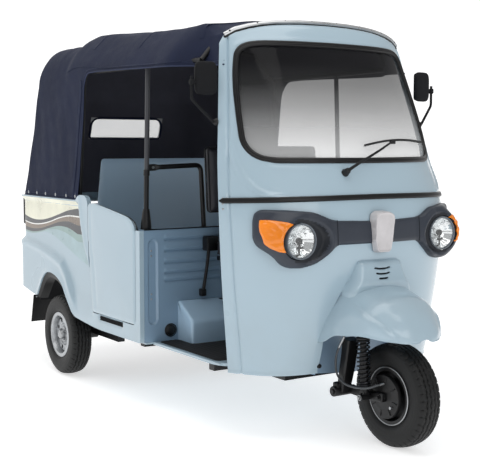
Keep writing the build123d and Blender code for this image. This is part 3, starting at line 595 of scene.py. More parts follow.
def screw(geo, at, axis=(0, -1, 0), r=0.005, h=0.003, mat=0, sides=0):
    """Domed screw head (sides=0) or a hexagon head, standing on the point at along axis."""
    at, ax = np.array(at, float), np.array(axis, float)
    ax /= np.linalg.norm(ax)
    a = np.cross(ax, [0, 0, 1.0] if abs(ax[2]) < 0.9 else [1.0, 0, 0])
    a /= np.linalg.norm(a)
    b = np.cross(ax, a)
    n = sides or 14
    ang = np.linspace(0, 2 * np.pi, n, endpoint=False)
    prof = [(-0.001, r), (h * 0.45, r), (h * 0.85, r * 0.72), (h, r * 0.3)] if not sides else [(-0.001, r), (h * 0.8, r), (h, r * 0.88)]
    P = np.array([[at + ax * d + (a * math.cos(t) + b * math.sin(t)) * q for d, q in prof] for t in ang])
    geo.grid(P, mat, cu=True)
    geo.cap(P[:, -1], mat)


def poly_sdf(X, Z, pts):
    """Signed distance to a closed polygon, below zero inside."""
    X, Z = np.asarray(X, float), np.asarray(Z, float)
    p = np.asarray(pts, float)
    d = np.full(X.shape, 1e9)
    s = np.ones(X.shape)
    n = len(p)
    for i in range(n):
        a, b = p[i], p[i - 1]
        ex, ez = b[0] - a[0], b[1] - a[1]
        wx, wz = X - a[0], Z - a[1]
        h = np.clip((wx * ex + wz * ez) / (ex * ex + ez * ez + 1e-18), 0, 1)
        bx, bz = wx - ex * h, wz - ez * h
        d = np.minimum(d, bx * bx + bz * bz)
        c1, c2, c3 = Z >= a[1], Z < b[1], ex * wz > ez * wx
        flip = (c1 & c2 & c3) | (~c1 & ~c2 & ~c3)
        s = np.where(flip, -s, s)
    return s * np.sqrt(d)


def soft(a, b, t):
    u = np.clip((np.asarray(t, float) - a) / (b - a), 0, 1)
    return u * u * (3 - 2 * u)


def carve(U, W, inside, passes=3):
    """Trim a grid of plane coordinates to where inside(U, W) > 0.
    Returns moved coordinates and the mask of faces that stay; the cut edge lies on the outline."""
    U, W = U.copy(), W.copy()
    e = 1e-4
    step = np.hypot(U[1, 0] - U[0, 0], W[1, 0] - W[0, 0]) + 1e-9
    d = inside(U, W)
    cell = 0.5 * (abs(U[1:, :-1] - U[:-1, :-1]).mean() + abs(W[:-1, 1:] - W[:-1, :-1]).mean())

    def project(mask):
        for _ in range(passes):
            u, w = U[mask], W[mask]
            dd = inside(u, w)
            gu = (inside(u + e, w) - inside(u - e, w)) / (2 * e)
            gw = (inside(u, w + e) - inside(u, w - e)) / (2 * e)
            g2 = np.maximum(gu * gu + gw * gw, 0.05)
            U[mask] = u - dd * gu / g2
            W[mask] = w - dd * gw / g2

    near = np.abs(d) < 0.45 * cell
    if near.any():
        project(near)
    cu = (U[1:, 1:] + U[:-1, 1:] + U[1:, :-1] + U[:-1, :-1]) / 4
    cw = (W[1:, 1:] + W[:-1, 1:] + W[1:, :-1] + W[:-1, :-1]) / 4
    keep = inside(cu, cw) > 0.02 * cell
    touch = np.zeros(U.shape, bool)
    gone = np.zeros(U.shape, bool)
    for a in (0, 1):
        for b in (0, 1):
            sl = (slice(a, U.shape[0] - 1 + a), slice(b, U.shape[1] - 1 + b))
            touch[sl] |= keep
            gone[sl] |= ~keep
    edge = touch & gone
    project(edge)
    # even out the rows next to the cut
    for _ in range(3):
        A = U.copy(), W.copy()
        for X, Y in ((U, A[0]), (W, A[1])):
            avg = Y.copy()
            avg[1:-1, 1:-1] = (Y[2:, 1:-1] + Y[:-2, 1:-1] + Y[1:-1, 2:] + Y[1:-1, :-2]) / 4
            ring = np.zeros(U.shape, bool)
            ring[1:-1, 1:-1] = edge[2:, 1:-1] | edge[:-2, 1:-1] | edge[1:-1, 2:] | edge[1:-1, :-2]
            ring &= touch & ~edge
            X[ring] = 0.5 * Y[ring] + 0.5 * avg[ring]
    return U, W, keep


# ------------------------------------------------------------------ front shell surface
# height, half width, y of the side edge, y on the centre line, fullness
SHELL_ROWS = [
    (0.270, 0.503, 0.434, 0.232, 5.6), (0.320, 0.511, 0.428, 0.212, 5.2), (0.475, 0.532, 0.414, 0.170, 4.2),
    (0.620, 0.554, 0.397, 0.140, 3.6), (0.800, 0.571, 0.386, 0.113, 3.2), (0.957, 0.576, 0.388, 0.135, 3.0),
    (1.100, 0.550, 0.436, 0.195, 3.0), (1.260, 0.527, 0.469, 0.262, 3.0), (1.510, 0.484, 0.531, 0.385, 3.0),
    (1.583, 0.472, 0.547, 0.425, 3.0), (1.650, 0.462, 0.565, 0.468, 2.8), (1.700, 0.455, 0.580, 0.515, 2.6),
]


def between(rows, z, col):
    t = np.array(rows, float)
    zs, v = t[:, 0], t[:, col]
    h = np.diff(zs)
    d = np.diff(v) / h
    m = np.zeros(len(zs))
    m[1:-1] = (d[1:] * h[:-1] + d[:-1] * h[1:]) / (h[:-1] + h[1:])
    m[0], m[-1] = d[0], d[-1]
    z = np.clip(np.asarray(z, float), zs[0], zs[-1])
    i = np.clip(np.searchsorted(zs, z) - 1, 0, len(zs) - 2)
    hh = zs[i + 1] - zs[i]
    s = (z - zs[i]) / hh
    return (1 + 2 * s) * (1 - s) ** 2 * v[i] + s * (1 - s) ** 2 * hh * m[i] + s * s * (3 - 2 * s) * v[i + 1] + s * s * (s - 1) * hh * m[i + 1]


def shell_w(z):
    return between(SHELL_ROWS, z, 1)


def shell_y(x, z):
    w, e, n, p = (between(SHELL_ROWS, z, k) for k in (1, 2, 3, 4))
    return n + (e - n) * np.minimum(np.abs(x) / w, 1.0) ** p


def shell_n(x, z):
    """Outward unit normal of the shell."""
    h = 1e-4
    x = np.asarray(x, float)
    z = np.asarray(z, float)
    dx = (shell_y(x + h, z) - shell_y(x - h, z)) / (2 * h)
    dz = (shell_y(x, z + h) - shell_y(x, z - h)) / (2 * h)
    n = np.stack([dx, -np.ones_like(dx), dz], -1)
    return n / np.linalg.norm(n, axis=-1, keepdims=True)


def on_shell(x, z, off=0.0):
    x, z = np.asarray(x, float), np.asarray(z, float)
    P = np.stack([x, shell_y(x, z), z], -1)
    return P + shell_n(x, z) * np.asarray(off, float)[..., None]


def both(points):
    """Left-hand outline from top centre to bottom centre, closed with its mirror image."""
    a = [tuple(p) for p in points]
    return a + [(-x, z) for x, z in a[::-1] if abs(x) > 1e-6]


def rounded(poly, r, k=5):
    """Closed outline with its corners rounded."""
    p = np.asarray(poly, float)
    n = len(p)
    out = []
    for i in range(n):
        a, b, c = p[i - 1], p[i], p[(i + 1) % n]
        u, v = a - b, c - b
        lu, lv = np.linalg.norm(u), np.linalg.norm(v)
        rr = r[i] if isinstance(r, (list, tuple)) else r
        cut = min(rr, 0.45 * lu, 0.45 * lv)
        s, e = b + u / lu * cut, b + v / lv * cut
        for j in range(k + 1):
            w = j / k
            out.append((1 - w) ** 2 * s + 2 * w * (1 - w) * b + w * w * e)
    return np.array(out)


def even(path, step, closed=True):
    p = np.asarray(path, float)
    if closed:
        p = np.vstack([p, p[:1]])
    d = np.insert(np.linalg.norm(np.diff(p, axis=0), axis=1).cumsum(), 0, 0)
    n = max(8, int(round(d[-1] / step)))
    t = np.linspace(0, d[-1], n + 1)
    q = np.stack([np.interp(t, d, p[:, k]) for k in range(p.shape[1])], 1)
    return q[:-1] if closed else q


SCREEN_OUT = both([(0.0, 1.590), (-0.275, 1.588), (-0.330, 1.587), (-0.381, 1.581), (-0.414, 1.566), (-0.434, 1.540), (-0.452, 1.470),
                   (-0.466, 1.385), (-0.476, 1.284), (-0.481, 1.195), (-0.474, 1.158), (-0.456, 1.128), (-0.426, 1.108), (-0.380, 1.101), (0.0, 1.099)])
SCREEN_OUT = rounded(SCREEN_OUT, 0.03, 4)
ARCH = [(-0.62, 1.30), (-0.512, 1.500), (-0.484, 1.560), (-0.455, 1.608), (-0.412, 1.633), (-0.357, 1.648), (-0.300, 1.659), (-0.235, 1.667), (-0.120, 1.674), (0.0, 1.676)]


def arch_z(x):
    a = np.array(ARCH)
    return np.interp(np.abs(x), a[::-1, 0] * -1, a[::-1, 1])


WELL = [(-0.216, 0.10), (-0.216, 0.430), (-0.200, 0.520), (-0.168, 0.595), (-0.124, 0.640), (0.124, 0.640), (0.168, 0.595), (0.200, 0.520), (0.216, 0.430), (0.216, 0.10)]
CREASE = np.array([(-0.508, 1.22), (-0.505, 1.153), (-0.502, 1.095), (-0.493, 1.046), (-0.474, 1.008), (-0.443, 0.983), (-0.405, 0.977), (-0.380, 0.977)])


def line_dist(X, Z, pts):
    d = np.full(np.shape(X), 9.0)
    sgn = np.zeros(np.shape(X))
    for a, b in zip(pts[:-1], pts[1:]):
        ex, ez = b - a
        wx, wz = X - a[0], Z - a[1]
        h = np.clip((wx * ex + wz * ez) / (ex * ex + ez * ez), 0, 1)
        dd = np.hypot(wx - ex * h, wz - ez * h)
        s = np.sign(ex * wz - ez * wx)
        sgn = np.where(dd < d, s, sgn)
        d = np.minimum(d, dd)
    return d, sgn


def front_shell():
    zs = np.concatenate([[0.272, 0.276, 0.281, 0.287, 0.294], np.arange(0.302, 1.706, 0.0078)])
    edge = [0.0, 0.005, 0.011, 0.018, 0.0235, 0.0265, 0.029, 0.0325, 0.037, 0.043]
    d0 = 0.050
    mid = np.linspace(-1, 1, 117)
    X = []
    for z in zs:
        w = float(shell_w(z))
        X.append(np.concatenate([[-(w - e) for e in edge], mid * (w - d0), [w - e for e in edge[::-1]]]))
    X = np.array(X).T
    Z = np.repeat(zs[None, :], X.shape[0], 0)

    def inside(u, w):
        a = arch_z(u) - w
        b = poly_sdf(u, w, SCREEN_OUT) + 0.010
        c = poly_sdf(u, w, WELL)
        du = np.abs(u) - 0.361
        e = np.hypot(np.where(du < 0, du * 0.66, du * 1.05), w - 0.809) - 0.0840
        return np.minimum(np.minimum(np.minimum(a, b), c), e)

    U, V, keep = carve(X, Z, inside)
    w = shell_w(V)
    d = w - np.abs(U)
    disp = -0.0085 * np.exp(-((d - 0.027) / 0.0040) ** 2) + 0.0012 * soft(0.042, 0.033, d)
    # swaged line round the lower corners of the screen
    for k in (-1, 1):
        pts = CREASE * np.array([-k, 1.0])
        dd, sg = line_dist(U, V, pts)
        fade = soft(1.22, 1.15, V) * soft(0.375, 0.410, np.abs(U))
        step = sg * -k
        disp += fade * (0.0060 * np.exp(-(dd / 0.0075) ** 2) - 0.0022 * np.exp(-((dd - 0.017) / 0.006) ** 2) + 0.0016 * soft(-0.012, 0.012, step * dd))
    # rolled bottom edge and a soft swell above it
    disp += 0.0045 * np.exp(-((V - 0.276) / 0.007) ** 2)
    # pressing round the screen
    sd = poly_sdf(U, V, SCREEN_OUT)
    disp += 0.0022 * np.exp(-((sd - 0.004) / 0.010) ** 2)
    # roof edge turned down under the metal strip
    disp -= 0.004 * soft(0.016, 0.002, arch_z(U) - V)
    P = on_shell(U, V, disp)
    g = Geo()
    g.grid(P, 0, keep=keep)
    make("front_shell_v", g, ["body_paint"], replaces=["front_shell"], thick=0.018, outward=False, angle=42)
    # steel wall of the wheel well, seen from the front below the mudguard, in a darker copy of the body paint: painted
    # shade
    g = Geo()
    top = [(-0.216, 0.24), (-0.216, 0.43), (-0.204, 0.475), (-0.170, 0.506), (-0.12, 0.512), (0.12, 0.512), (0.170, 0.506), (0.204, 0.475), (0.216, 0.43), (0.216, 0.24)]
    prof = even(rounded(np.array(top), 0.02, 3)[3:-3], 0.012, closed=False)
    ys = np.linspace(0.0, 1.0, 16)
    rows = []
    for x, z in prof:
        y0 = float(shell_y(x, z)) + 0.012
        rows.append([(x, y0 + (0.278 - y0) * t, z) for t in ys])
    g.grid(rows, 0)
    back = []
    for x, z in prof:
        back.append([(x * t, 0.278, 0.24 + (z - 0.24) * t) for t in np.linspace(0, 1, 8)])
    g.grid(back, 0)
    make("wheel_well", g, ["paint_shade"], thick=0.003, outward=False, angle=40)


front_shell()


def screen():
    ring = even(SCREEN_OUT, 0.012)
    c = ring.mean(0)
    # seal: a rubber section with an outer lip, a filler strip and an inner lip
    prof = [(-0.012, -0.004), (-0.0125, 0.003), (-0.010, 0.0075), (-0.0055, 0.0085), (-0.003, 0.0062), (0.0015, 0.0062), (0.004, 0.0088), (0.0085, 0.0078), (0.0115, 0.004), (0.0115, -0.006)]
    P3, N3 = [], []
    inner = []
    n = len(ring)
    for i in range(n):
        t = ring[(i + 1) % n] - ring[i - 1]
        t /= np.linalg.norm(t)
        nrm = np.array([-t[1], t[0]])
        if np.dot(nrm, c - ring[i]) < 0:
            nrm = -nrm
        q = ring[i] + nrm * 0.0105
        inner.append(ring[i] + nrm * 0.019)
        P3.append(on_shell(q[0], q[1], 0.0))
        N3.append(shell_n(q[0], q[1]))
    P3, N3 = np.array(P3), np.array(N3)
    g = Geo()
    sweep(g, P3, prof, up=N3, closed=True, mat=0)
    make("windscreen_seal_v", g, ["black_rubber"], replaces=["windscreen_seal"], angle=50)
    inner = np.array(inner)
    X, Z = np.meshgrid(np.linspace(-0.48, 0.48, 61), np.linspace(1.09, 1.60, 33), indexing="ij")
    U, V, keep = carve(X, Z, lambda u, w: -poly_sdf(u, w, inner) + 0.006)
    g = Geo()
    g.grid(on_shell(U, V, np.full(U.shape, -0.003)), 0, keep=keep)
    make("windscreen_glass_v", g, ["window_glass"], replaces=["windscreen_glass"], thick=0.004, outward=False)


screen()


def belt():
    s = np.linspace(-1, 1, 121)
    path, ups, sc = [], [], []
    for t in s:
        z = 0.958 + 0.011 * (1 - t * t)
        x = t * (float(shell_w(z)) - 0.002)
        path.append(on_shell(x, z, 0.002))
        ups.append(shell_n(x, z))
    prof = [(-0.0105, -0.003), (-0.0108, 0.0015), (-0.0085, 0.0045), (-0.0045, 0.0056), (0.0045, 0.0056), (0.0085, 0.0045), (0.0108, 0.0015), (0.0105, -0.003)]
    g = Geo()
    e = np.minimum(s + 1, 1 - s) * 0.576 / 0.010
    sweep(g, np.array(path), prof, up=np.array(ups), mat=0, scale=np.sqrt(np.clip(1 - (1 - np.clip(e, 0, 1)) ** 2, 0.05, 1)))
    make("belt_moulding_v", g, ["black_rubber"], replaces=["belt_moulding"], angle=50)


belt()

# ------------------------------------------------------------------ lamps and their surround
BEZEL = both([(0.0, 0.878), (-0.062, 0.878), (-0.200, 0.883), (-0.226, 0.888), (-0.292, 0.917), (-0.382, 0.925), (-0.468, 0.927), (-0.486, 0.913), (-0.492, 0.881),
              (-0.491, 0.815), (-0.481, 0.787), (-0.450, 0.752), (-0.422, 0.719), (-0.395, 0.705), (-0.347, 0.703), (-0.295, 0.716), (-0.255, 0.746), (-0.207, 0.783), (-0.195, 0.788), (0.0, 0.788)])
BEZEL = rounded(BEZEL, 0.018, 4)
LAMP_X, LAMP_Y, LAMP_Z, LAMP_R = 0.361, 0.1375, 0.809, 0.070
IND = np.array([(-0.470, 0.889), (-0.440, 0.889), (-0.402, 0.881), (-0.380, 0.871), (-0.390, 0.840), (-0.400, 0.809), (-0.408, 0.790), (-0.412, 0.769),
                (-0.440, 0.773), (-0.457, 0.784), (-0.468, 0.800), (-0.472, 0.844)])
IND = rounded(IND, 0.006, 3)
LAMP_SEAT = 0.0690


def seam_strip():
    """Dark joint line where each lamp pod meets the bar between them."""
    g = Geo()
    for s in (-1, 1):
        zs = np.linspace(0.787, 0.884, 14)
        rows = []
        for e in (-0.0013, 0.0013):
            x = s * (0.207 + e) * np.ones_like(zs)
            rows.append(on_shell(x, zs, 0.011 + 0.015 * soft(0.185, 0.255, np.abs(x)) - 0.0003))
        g.grid(rows, 0, flip=(s == 1))
    make("lamp_surround_seam", g, ["inner_dark"], outward=False)


def bezel():
    X, Z = np.meshgrid(np.linspace(-0.515, 0.515, 225), np.linspace(0.695, 0.935, 55), indexing="ij")

    def hole(u, w):
        return np.hypot(np.abs(u) - LAMP_X, w - LAMP_Z) - LAMP_SEAT

    def inside(u, w):
        return np.minimum(-poly_sdf(u, w, BEZEL), hole(u, w))

    U, V, keep = carve(X, Z, inside)
    d = -poly_sdf(U, V, BEZEL)
    H = 0.011 + 0.015 * soft(0.185, 0.255, np.abs(U))
    h = H * np.sqrt(np.clip(1 - (1 - np.clip(d / 0.014, 0, 1)) ** 2, 0, 1)) - 0.001
    # each lamp looks straight ahead: the surround rises to it outside and drops into a bowl inside
    ring = hole(U, V)
    P = on_shell(U, V, h)
    du = np.abs(U) - LAMP_X
    bowl = np.hypot(np.where(du < 0, du * 0.66, du * 1.05), V - LAMP_Z)
    k = soft(0.055, 0.004, ring)
    rise = P[..., 1] * (1 - k) + np.minimum(P[..., 1], LAMP_Y + 0.003) * k
    kb = soft(0.0860, 0.0715, bowl) * soft(0.030, 0.0, du)
    P[..., 1] = rise * (1 - kb) + np.maximum(rise, LAMP_Y + 0.004) * kb
    P[..., 1] -= 0.0035 * np.exp(-((bowl - 0.0895) / 0.0045) ** 2) * soft(0.035, 0.0, du)
    # the bowl faces take the darker copy of the surround's plastic: painted shade
    dark = (kb[1:, 1:] + kb[:-1, 1:] + kb[1:, :-1] + kb[:-1, :-1]) / 4 > 0.35
    g = Geo()
    g.grid(P, 0, keep=keep & ~dark)
    g.grid(P, 1, keep=keep & dark)
    make("lamp_surround_v", g, ["dark_plastic", "painted_shade_bowl_plastic"], replaces=["lamp_surround"], thick=0.0035, outward=False, angle=50)
    # indicators: amber lens with a faceted inside, set just proud of the surround
    g = Geo()
    for s in (-1, 1):
        X, Z = np.meshgrid(np.linspace(-0.484, -0.370, 61), np.linspace(0.764, 0.896, 67), indexing="ij")
        U, V, keep = carve(X, Z, lambda u, w: np.minimum(-poly_sdf(u, w, IND) - 0.001, np.hypot(u + LAMP_X, w - LAMP_Z) - LAMP_SEAT + 0.002))
        d = -poly_sdf(U, V, IND)
        Hh = 0.011 + 0.015 * soft(0.185, 0.255, np.abs(U))
        db = -poly_sdf(U, V, BEZEL)
        hb = Hh * np.sqrt(np.clip(1 - (1 - np.clip(db / 0.014, 0, 1)) ** 2, 0, 1)) - 0.001
        P = on_shell(U, V, hb)
        ring = np.hypot(U + LAMP_X, V - LAMP_Z) - LAMP_SEAT
        k = soft(0.055, 0.004, ring)
        P[..., 1] = P[..., 1] * (1 - k) + np.minimum(P[..., 1], LAMP_Y + 0.003) * k
        a1, a2 = (U * 0.94 + V * 0.34) / 0.021, (V * 0.94 - U * 0.34) / 0.026
        tri = np.abs(a1 % 1.0 - 0.5) + np.abs(a2 % 1.0 - 0.5)
        lip = np.sqrt(np.clip(1 - (1 - np.clip(d / 0.006, 0, 1)) ** 2, 0, 1))
        out = -0.004 + 0.0085 * lip + 0.0052 * (0.5 - tri) * soft(0.006, 0.010, d)
        P = P + shell_n(U, V) * out[..., None]
        P[..., 0] *= -s
        g.grid(P, 0, keep=keep, flip=(s == 1))
    make("front_indicators_v", g, ["amber_plastic"], replaces=["front_indicators"], thick=0.006, outward=False, angle=14)
    seam_strip()
    # lamps: reflector bowl with vertical flutes, bulb shield, dark ring and a clear front lens
    g = Geo()
    for s in (-1, 1):
        o = np.array([s * LAMP_X, LAMP_Y, LAMP_Z])
        na, nr = 72, 14
        a = np.linspace(0, 2 * np.pi, na, endpoint=False)
        r = np.linspace(0.0615, 0.012, nr)
        A, R = np.meshgrid(a, r, indexing="ij")
        facet = 0.0050 * np.abs(((A * 9 / np.pi) % 1.0) - 0.5) * (R / 0.07) + 0.0034 * np.abs(((R / 0.016) % 1.0) - 0.5)
        Y = 0.008 + 0.044 * (1 - (R / 0.0615) ** 2) - facet
        g.grid(np.stack([o[0] + R * np.cos(A), o[1] + Y, o[2] + R * np.sin(A)], -1), 1, cu=True)
        lathe(g, [(0.060, 0.013), (0.050, 0.014), (0.030, 0.016), (0.024, 0.0145), (0.022, 0.006), (0.021, 0.0)], o, "Y", 24, 1)
        lathe(g, [(0.022, 0.0690), (0.001, 0.0692), (-0.0020, 0.0685), (-0.0032, 0.0668), (-0.0020, 0.0648), (0.004, 0.0632), (0.010, 0.0620)], o, "Y", 72, 2)
        # bulb shield: a small dark cap on a bracket, and a dark ring round the bulb, painted shade for the opening
        # there
        lathe(g, [(0.012, 0.0), (0.012, 0.009), (0.014, 0.0125), (0.030, 0.0125), (0.030, 0.010)], o + np.array([0, 0, 0]), "Y", 24, 3)
        lathe(g, [(0.0498, 0.020), (0.0485, 0.0165), (0.0495, 0.013)], o, "Y", 24, 3)
        block(g, o[0] - 0.004, o[0] + 0.004, o[1] + 0.016, o[1] + 0.020, o[2] - 0.052, o[2] - 0.010, 0.001, 1, 3)
        block(g, o[0] - 0.017, o[0] + 0.017, o[1] + 0.012, o[1] + 0.016, o[2] - 0.030, o[2] - 0.021, 0.002, 1, 3)
        # lens, slightly domed, with its rim
        prof = [(0.004, 0.0635)] + [(0.002 - 0.010 * (1 - (q / 0.0635) ** 2), q) for q in np.linspace(0.0630, 0.0, 12)]
        lathe(g, prof, o, "Y", 72, 0)
    make("headlamps_v", g, ["lamp_glass", "lamp_mirror", "lamp_ring", "black_plastic"], replaces=["headlamps"], angle=25)
    # plain badge in the middle: pressed metal, wide at the top, tapering downwards
    out = rounded(np.array([(-0.0505, 0.884), (-0.046, 0.903), (-0.024, 0.915), (0.024, 0.915), (0.046, 0.903), (0.0505, 0.884), (0.046, 0.800), (0.037, 0.760), (0.026, 0.751),
                            (-0.026, 0.751), (-0.037, 0.760), (-0.046, 0.800)]), 0.008, 4)
    X, Z = np.meshgrid(np.linspace(-0.053, 0.053, 45), np.linspace(0.745, 0.920, 61), indexing="ij")
    U, V, keep = carve(X, Z, lambda u, w: -poly_sdf(u, w, out))
    d = -poly_sdf(U, V, out)
    face = 0.080 - 0.006 * soft(0.80, 0.90, V)
    back = shell_y(U, V) - 0.006
    lip = np.sqrt(np.clip(1 - (1 - np.clip(d / 0.005, 0, 1)) ** 2, 0, 1))
    inn = soft(0.0085, 0.0115, d)
    Y = back + (face - back) * lip + 0.0022 * inn
    Y = np.where(d < 1e-3, back, Y)
    g = Geo()
    g.grid(np.stack([U, Y, V], -1), 0, keep=keep)
    make("nose_plate_v", g, ["silver_metal"], replaces=["nose_plate"], thick=0.003, outward=False, angle=32)


bezel()


# ------------------------------------------------------------------ front mudguard
# y, half width and height of the hem, of the shoulder, height of the crown
GUARD = [
    (-0.1525, 0.022, 0.436, 0.014, 0.441, 0.443), (-0.150, 0.036, 0.431, 0.024, 0.448, 0.454), (-0.146, 0.054, 0.431, 0.036, 0.457, 0.465),
    (-0.135, 0.078, 0.432, 0.055, 0.474, 0.488), (-0.110, 0.108, 0.436, 0.078, 0.499, 0.522), (-0.080, 0.138, 0.441, 0.096, 0.522, 0.550),
    (-0.040, 0.170, 0.448, 0.111, 0.556, 0.577), (0.000, 0.190, 0.451, 0.119, 0.568, 0.594), (0.050, 0.205, 0.445, 0.126, 0.580, 0.607),
    (0.122, 0.222, 0.435, 0.131, 0.602, 0.626), (0.160, 0.230, 0.412, 0.133, 0.617, 0.640), (0.200, 0.236, 0.400, 0.134, 0.630, 0.655),
]


def mudguard():
    rows = GUARD
    ys = np.concatenate([[-0.1525, -0.1518, -0.1505, -0.149, -0.1465, -0.1425, -0.1375, -0.1315], np.arange(-0.125, 0.201, 0.0062)])
    us = np.linspace(-1, 1, 91)
    P = np.zeros((len(us), len(ys), 3))
    for j, y in enumerate(ys):
        hw, hz, sw, sz, cz = (float(between(rows, y, k)) for k in (1, 2, 3, 4, 5))
        q = min(1.0, hw / 0.17)
        mw, mz = hw * 0.40 + sw * 0.60 + 0.020 * q, hz * 0.42 + sz * 0.58
        key = [(-hw, hz), (-(hw * 0.78 + sw * 0.22 + 0.010 * q), hz * 0.74 + sz * 0.26), (-mw, mz), (-sw, sz), (-sw * 0.62, sz + (cz - sz) * 0.66), (0, cz)]
        key += [(-x, z) for x, z in key[-2::-1]]
        c = smooth_path(key, 90)
        d = np.insert(np.linalg.norm(np.diff(c, axis=0), axis=1).cumsum(), 0, 0)
        t = (us + 1) / 2 * d[-1]
        P[:, j, 0] = np.interp(t, d, c[:, 0])
        P[:, j, 2] = np.interp(t, d, c[:, 1])
        P[:, j, 1] = y
    # crease that sweeps down and forward on each flank
    N = np.cross(np.gradient(P, axis=0), np.gradient(P, axis=1))
    N /= np.linalg.norm(N, axis=-1, keepdims=True) + 1e-9
    if N[45, 30, 2] < 0:
        N = -N
    Y, Zc = P[..., 1], P[..., 2]
    line = np.array([(0.110, 0.570), (0.080, 0.562), (0.030, 0.548), (-0.010, 0.530), (-0.055, 0.510), (-0.085, 0.487), (-0.108, 0.462), (-0.118, 0.448)])
    dd, sg = line_dist(Y, Zc, line)
    side = np.abs(us)[:, None] > 0.30
    fade = soft(0.105, 0.06, Y) * soft(-0.122, -0.085, Y) * side
    disp = fade * (0.0050 * soft(-0.003, 0.012, sg * dd) * soft(0.060, 0.014, dd) - 0.0020 * np.exp(-(dd / 0.004) ** 2))
    # hem bead
    disp = disp + 0.0018 * soft(0.955, 0.985, np.abs(us))[:, None]
    P = P + N * disp[..., None]
    # keep what stands in front of the shell
    keep = np.zeros((P.shape[0] - 1, P.shape[1] - 1), bool)
    S = shell_y(P[..., 0], P[..., 2])
    infront = P[..., 1] < S + 0.006
    keep = infront[:-1, :-1] | infront[1:, :-1] | infront[:-1, 1:] | infront[1:, 1:]
    over = P[..., 1] > S + 0.006
    P[..., 1] = np.where(over, S + 0.006, P[..., 1])
    g = Geo()
    g.grid(P, 0, keep=keep, flip=True)
    # raised housing above it, with three short louvres
    X, Z = np.meshgrid(np.linspace(-0.17, 0.17, 103), np.linspace(0.575, 0.735, 65), indexing="ij")
    out = np.array([(-0.098, 0.721), (0.098, 0.721), (0.112, 0.708), (0.128, 0.655), (0.148, 0.628), (0.160, 0.604), (0.160, 0.560), (-0.160, 0.560), (-0.160, 0.604), (-0.148, 0.628), (-0.128, 0.655), (-0.112, 0.708)])
    out = rounded(out, 0.012, 4)
    U, V, kp = carve(X, Z, lambda u, w: -poly_sdf(u, w, out))
    d = -poly_sdf(U, V, out)
    top = 0.030 + 0.030 * soft(0.722, 0.62, V)
    h = top * np.sqrt(np.clip(1 - (1 - np.clip(d / 0.026, 0, 1)) ** 2, 0, 1)) - 0.002
    h += 0.006 * soft(0.012, 0.004, np.abs(V - 0.700)) * 0
    for (zc, x0, x1) in ((0.688, -0.043, 0.043), (0.668, -0.038, 0.038), (0.650, -0.026, 0.026)):
        inx = soft(0.0, 0.006, np.minimum(U - x0, x1 - U))
        h -= 0.010 * inx * soft(0.0042, 0.0018, np.abs(V - zc - 0.004 * soft(0.012, 0.04, np.abs(U))))
        h += 0.0016 * inx * np.exp(-((V - zc - 0.009) / 0.004) ** 2)
    Y2 = shell_y(U, V) - h
    g2 = Geo()
    g2.grid(np.stack([U, Y2, V], -1), 0, keep=kp)
    ob = make("front_mudguard_v", g, ["body_paint"], replaces=["front_mudguard"], thick=0.005, outward=False, angle=42)
    make("mudguard_housing", g2, ["body_paint"], thick=0.003, outward=False, angle=38)
    # dark strips set in the louvre slots: painted shade
    g3 = Geo()
    for (zc, x0, x1) in ((0.688, -0.042, 0.042), (0.668, -0.037, 0.037), (0.650, -0.025, 0.025)):
        xs = np.linspace(x0, x1, 9)
        zc2 = zc + 0.004 * soft(0.012, 0.04, np.abs(xs))
        tp = 0.030 + 0.030 * soft(0.722, 0.62, zc2)
        row = [[(x, float(shell_y(x, z)) - t + 0.0065, z - 0.0030), (x, float(shell_y(x, z)) - t + 0.0065, z + 0.0030)] for x, z, t in zip(xs, zc2, tp)]
        g3.grid(row, 0)
    make("mudguard_louvre_painted_shade", g3, ["inner_dark"], outward=False)


mudguard()


# ------------------------------------------------------------------ canopy
CAN_A, CAN_Y0, CAN_Y1, CAN_Z0, CAN_Z1 = 0.588, 0.500, 2.436, 0.903, 1.700
CAN_R = np.array([0.135, 0.090, 0.150])
CROWN = [(0.40, 1.676), (0.50, 1.678), (0.56, 1.690), (0.84, 1.700), (1.216, 1.709), (1.45, 1.722), (1.60, 1.734), (1.69, 1.734), (1.75, 1.725), (1.82, 1.706), (1.89, 1.700), (2.04, 1.704), (2.20, 1.705), (2.50, 1.700)]
LEAN = [(0.80, -0.012), (0.90, -0.010), (1.10, 0.060), (1.266, 0.124), (1.41, 0.166), (1.47, 0.198), (1.60, 0.240), (1.75, 0.255)]
NARROW = [(0.80, 1.0), (0.90, 1.0), (1.20, 0.991), (1.42, 0.983), (1.50, 0.985), (1.75, 0.985)]
OPENING = rounded(np.array([(0.30, 0.70), (1.672, 0.70), (1.676, 0.930), (1.652, 1.101), (1.622, 1.301), (1.604, 1.452), (1.556, 1.511), (1.432, 1.513), (1.258, 1.509), (0.933, 1.499), (0.742, 1.495), (0.518, 1.490), (0.30, 1.488)]),
                  [0.0, 0.0, 0.02, 0.05, 0.05, 0.05, 0.05, 0.02, 0.05, 0.05, 0.05, 0.05, 0.0], 5)


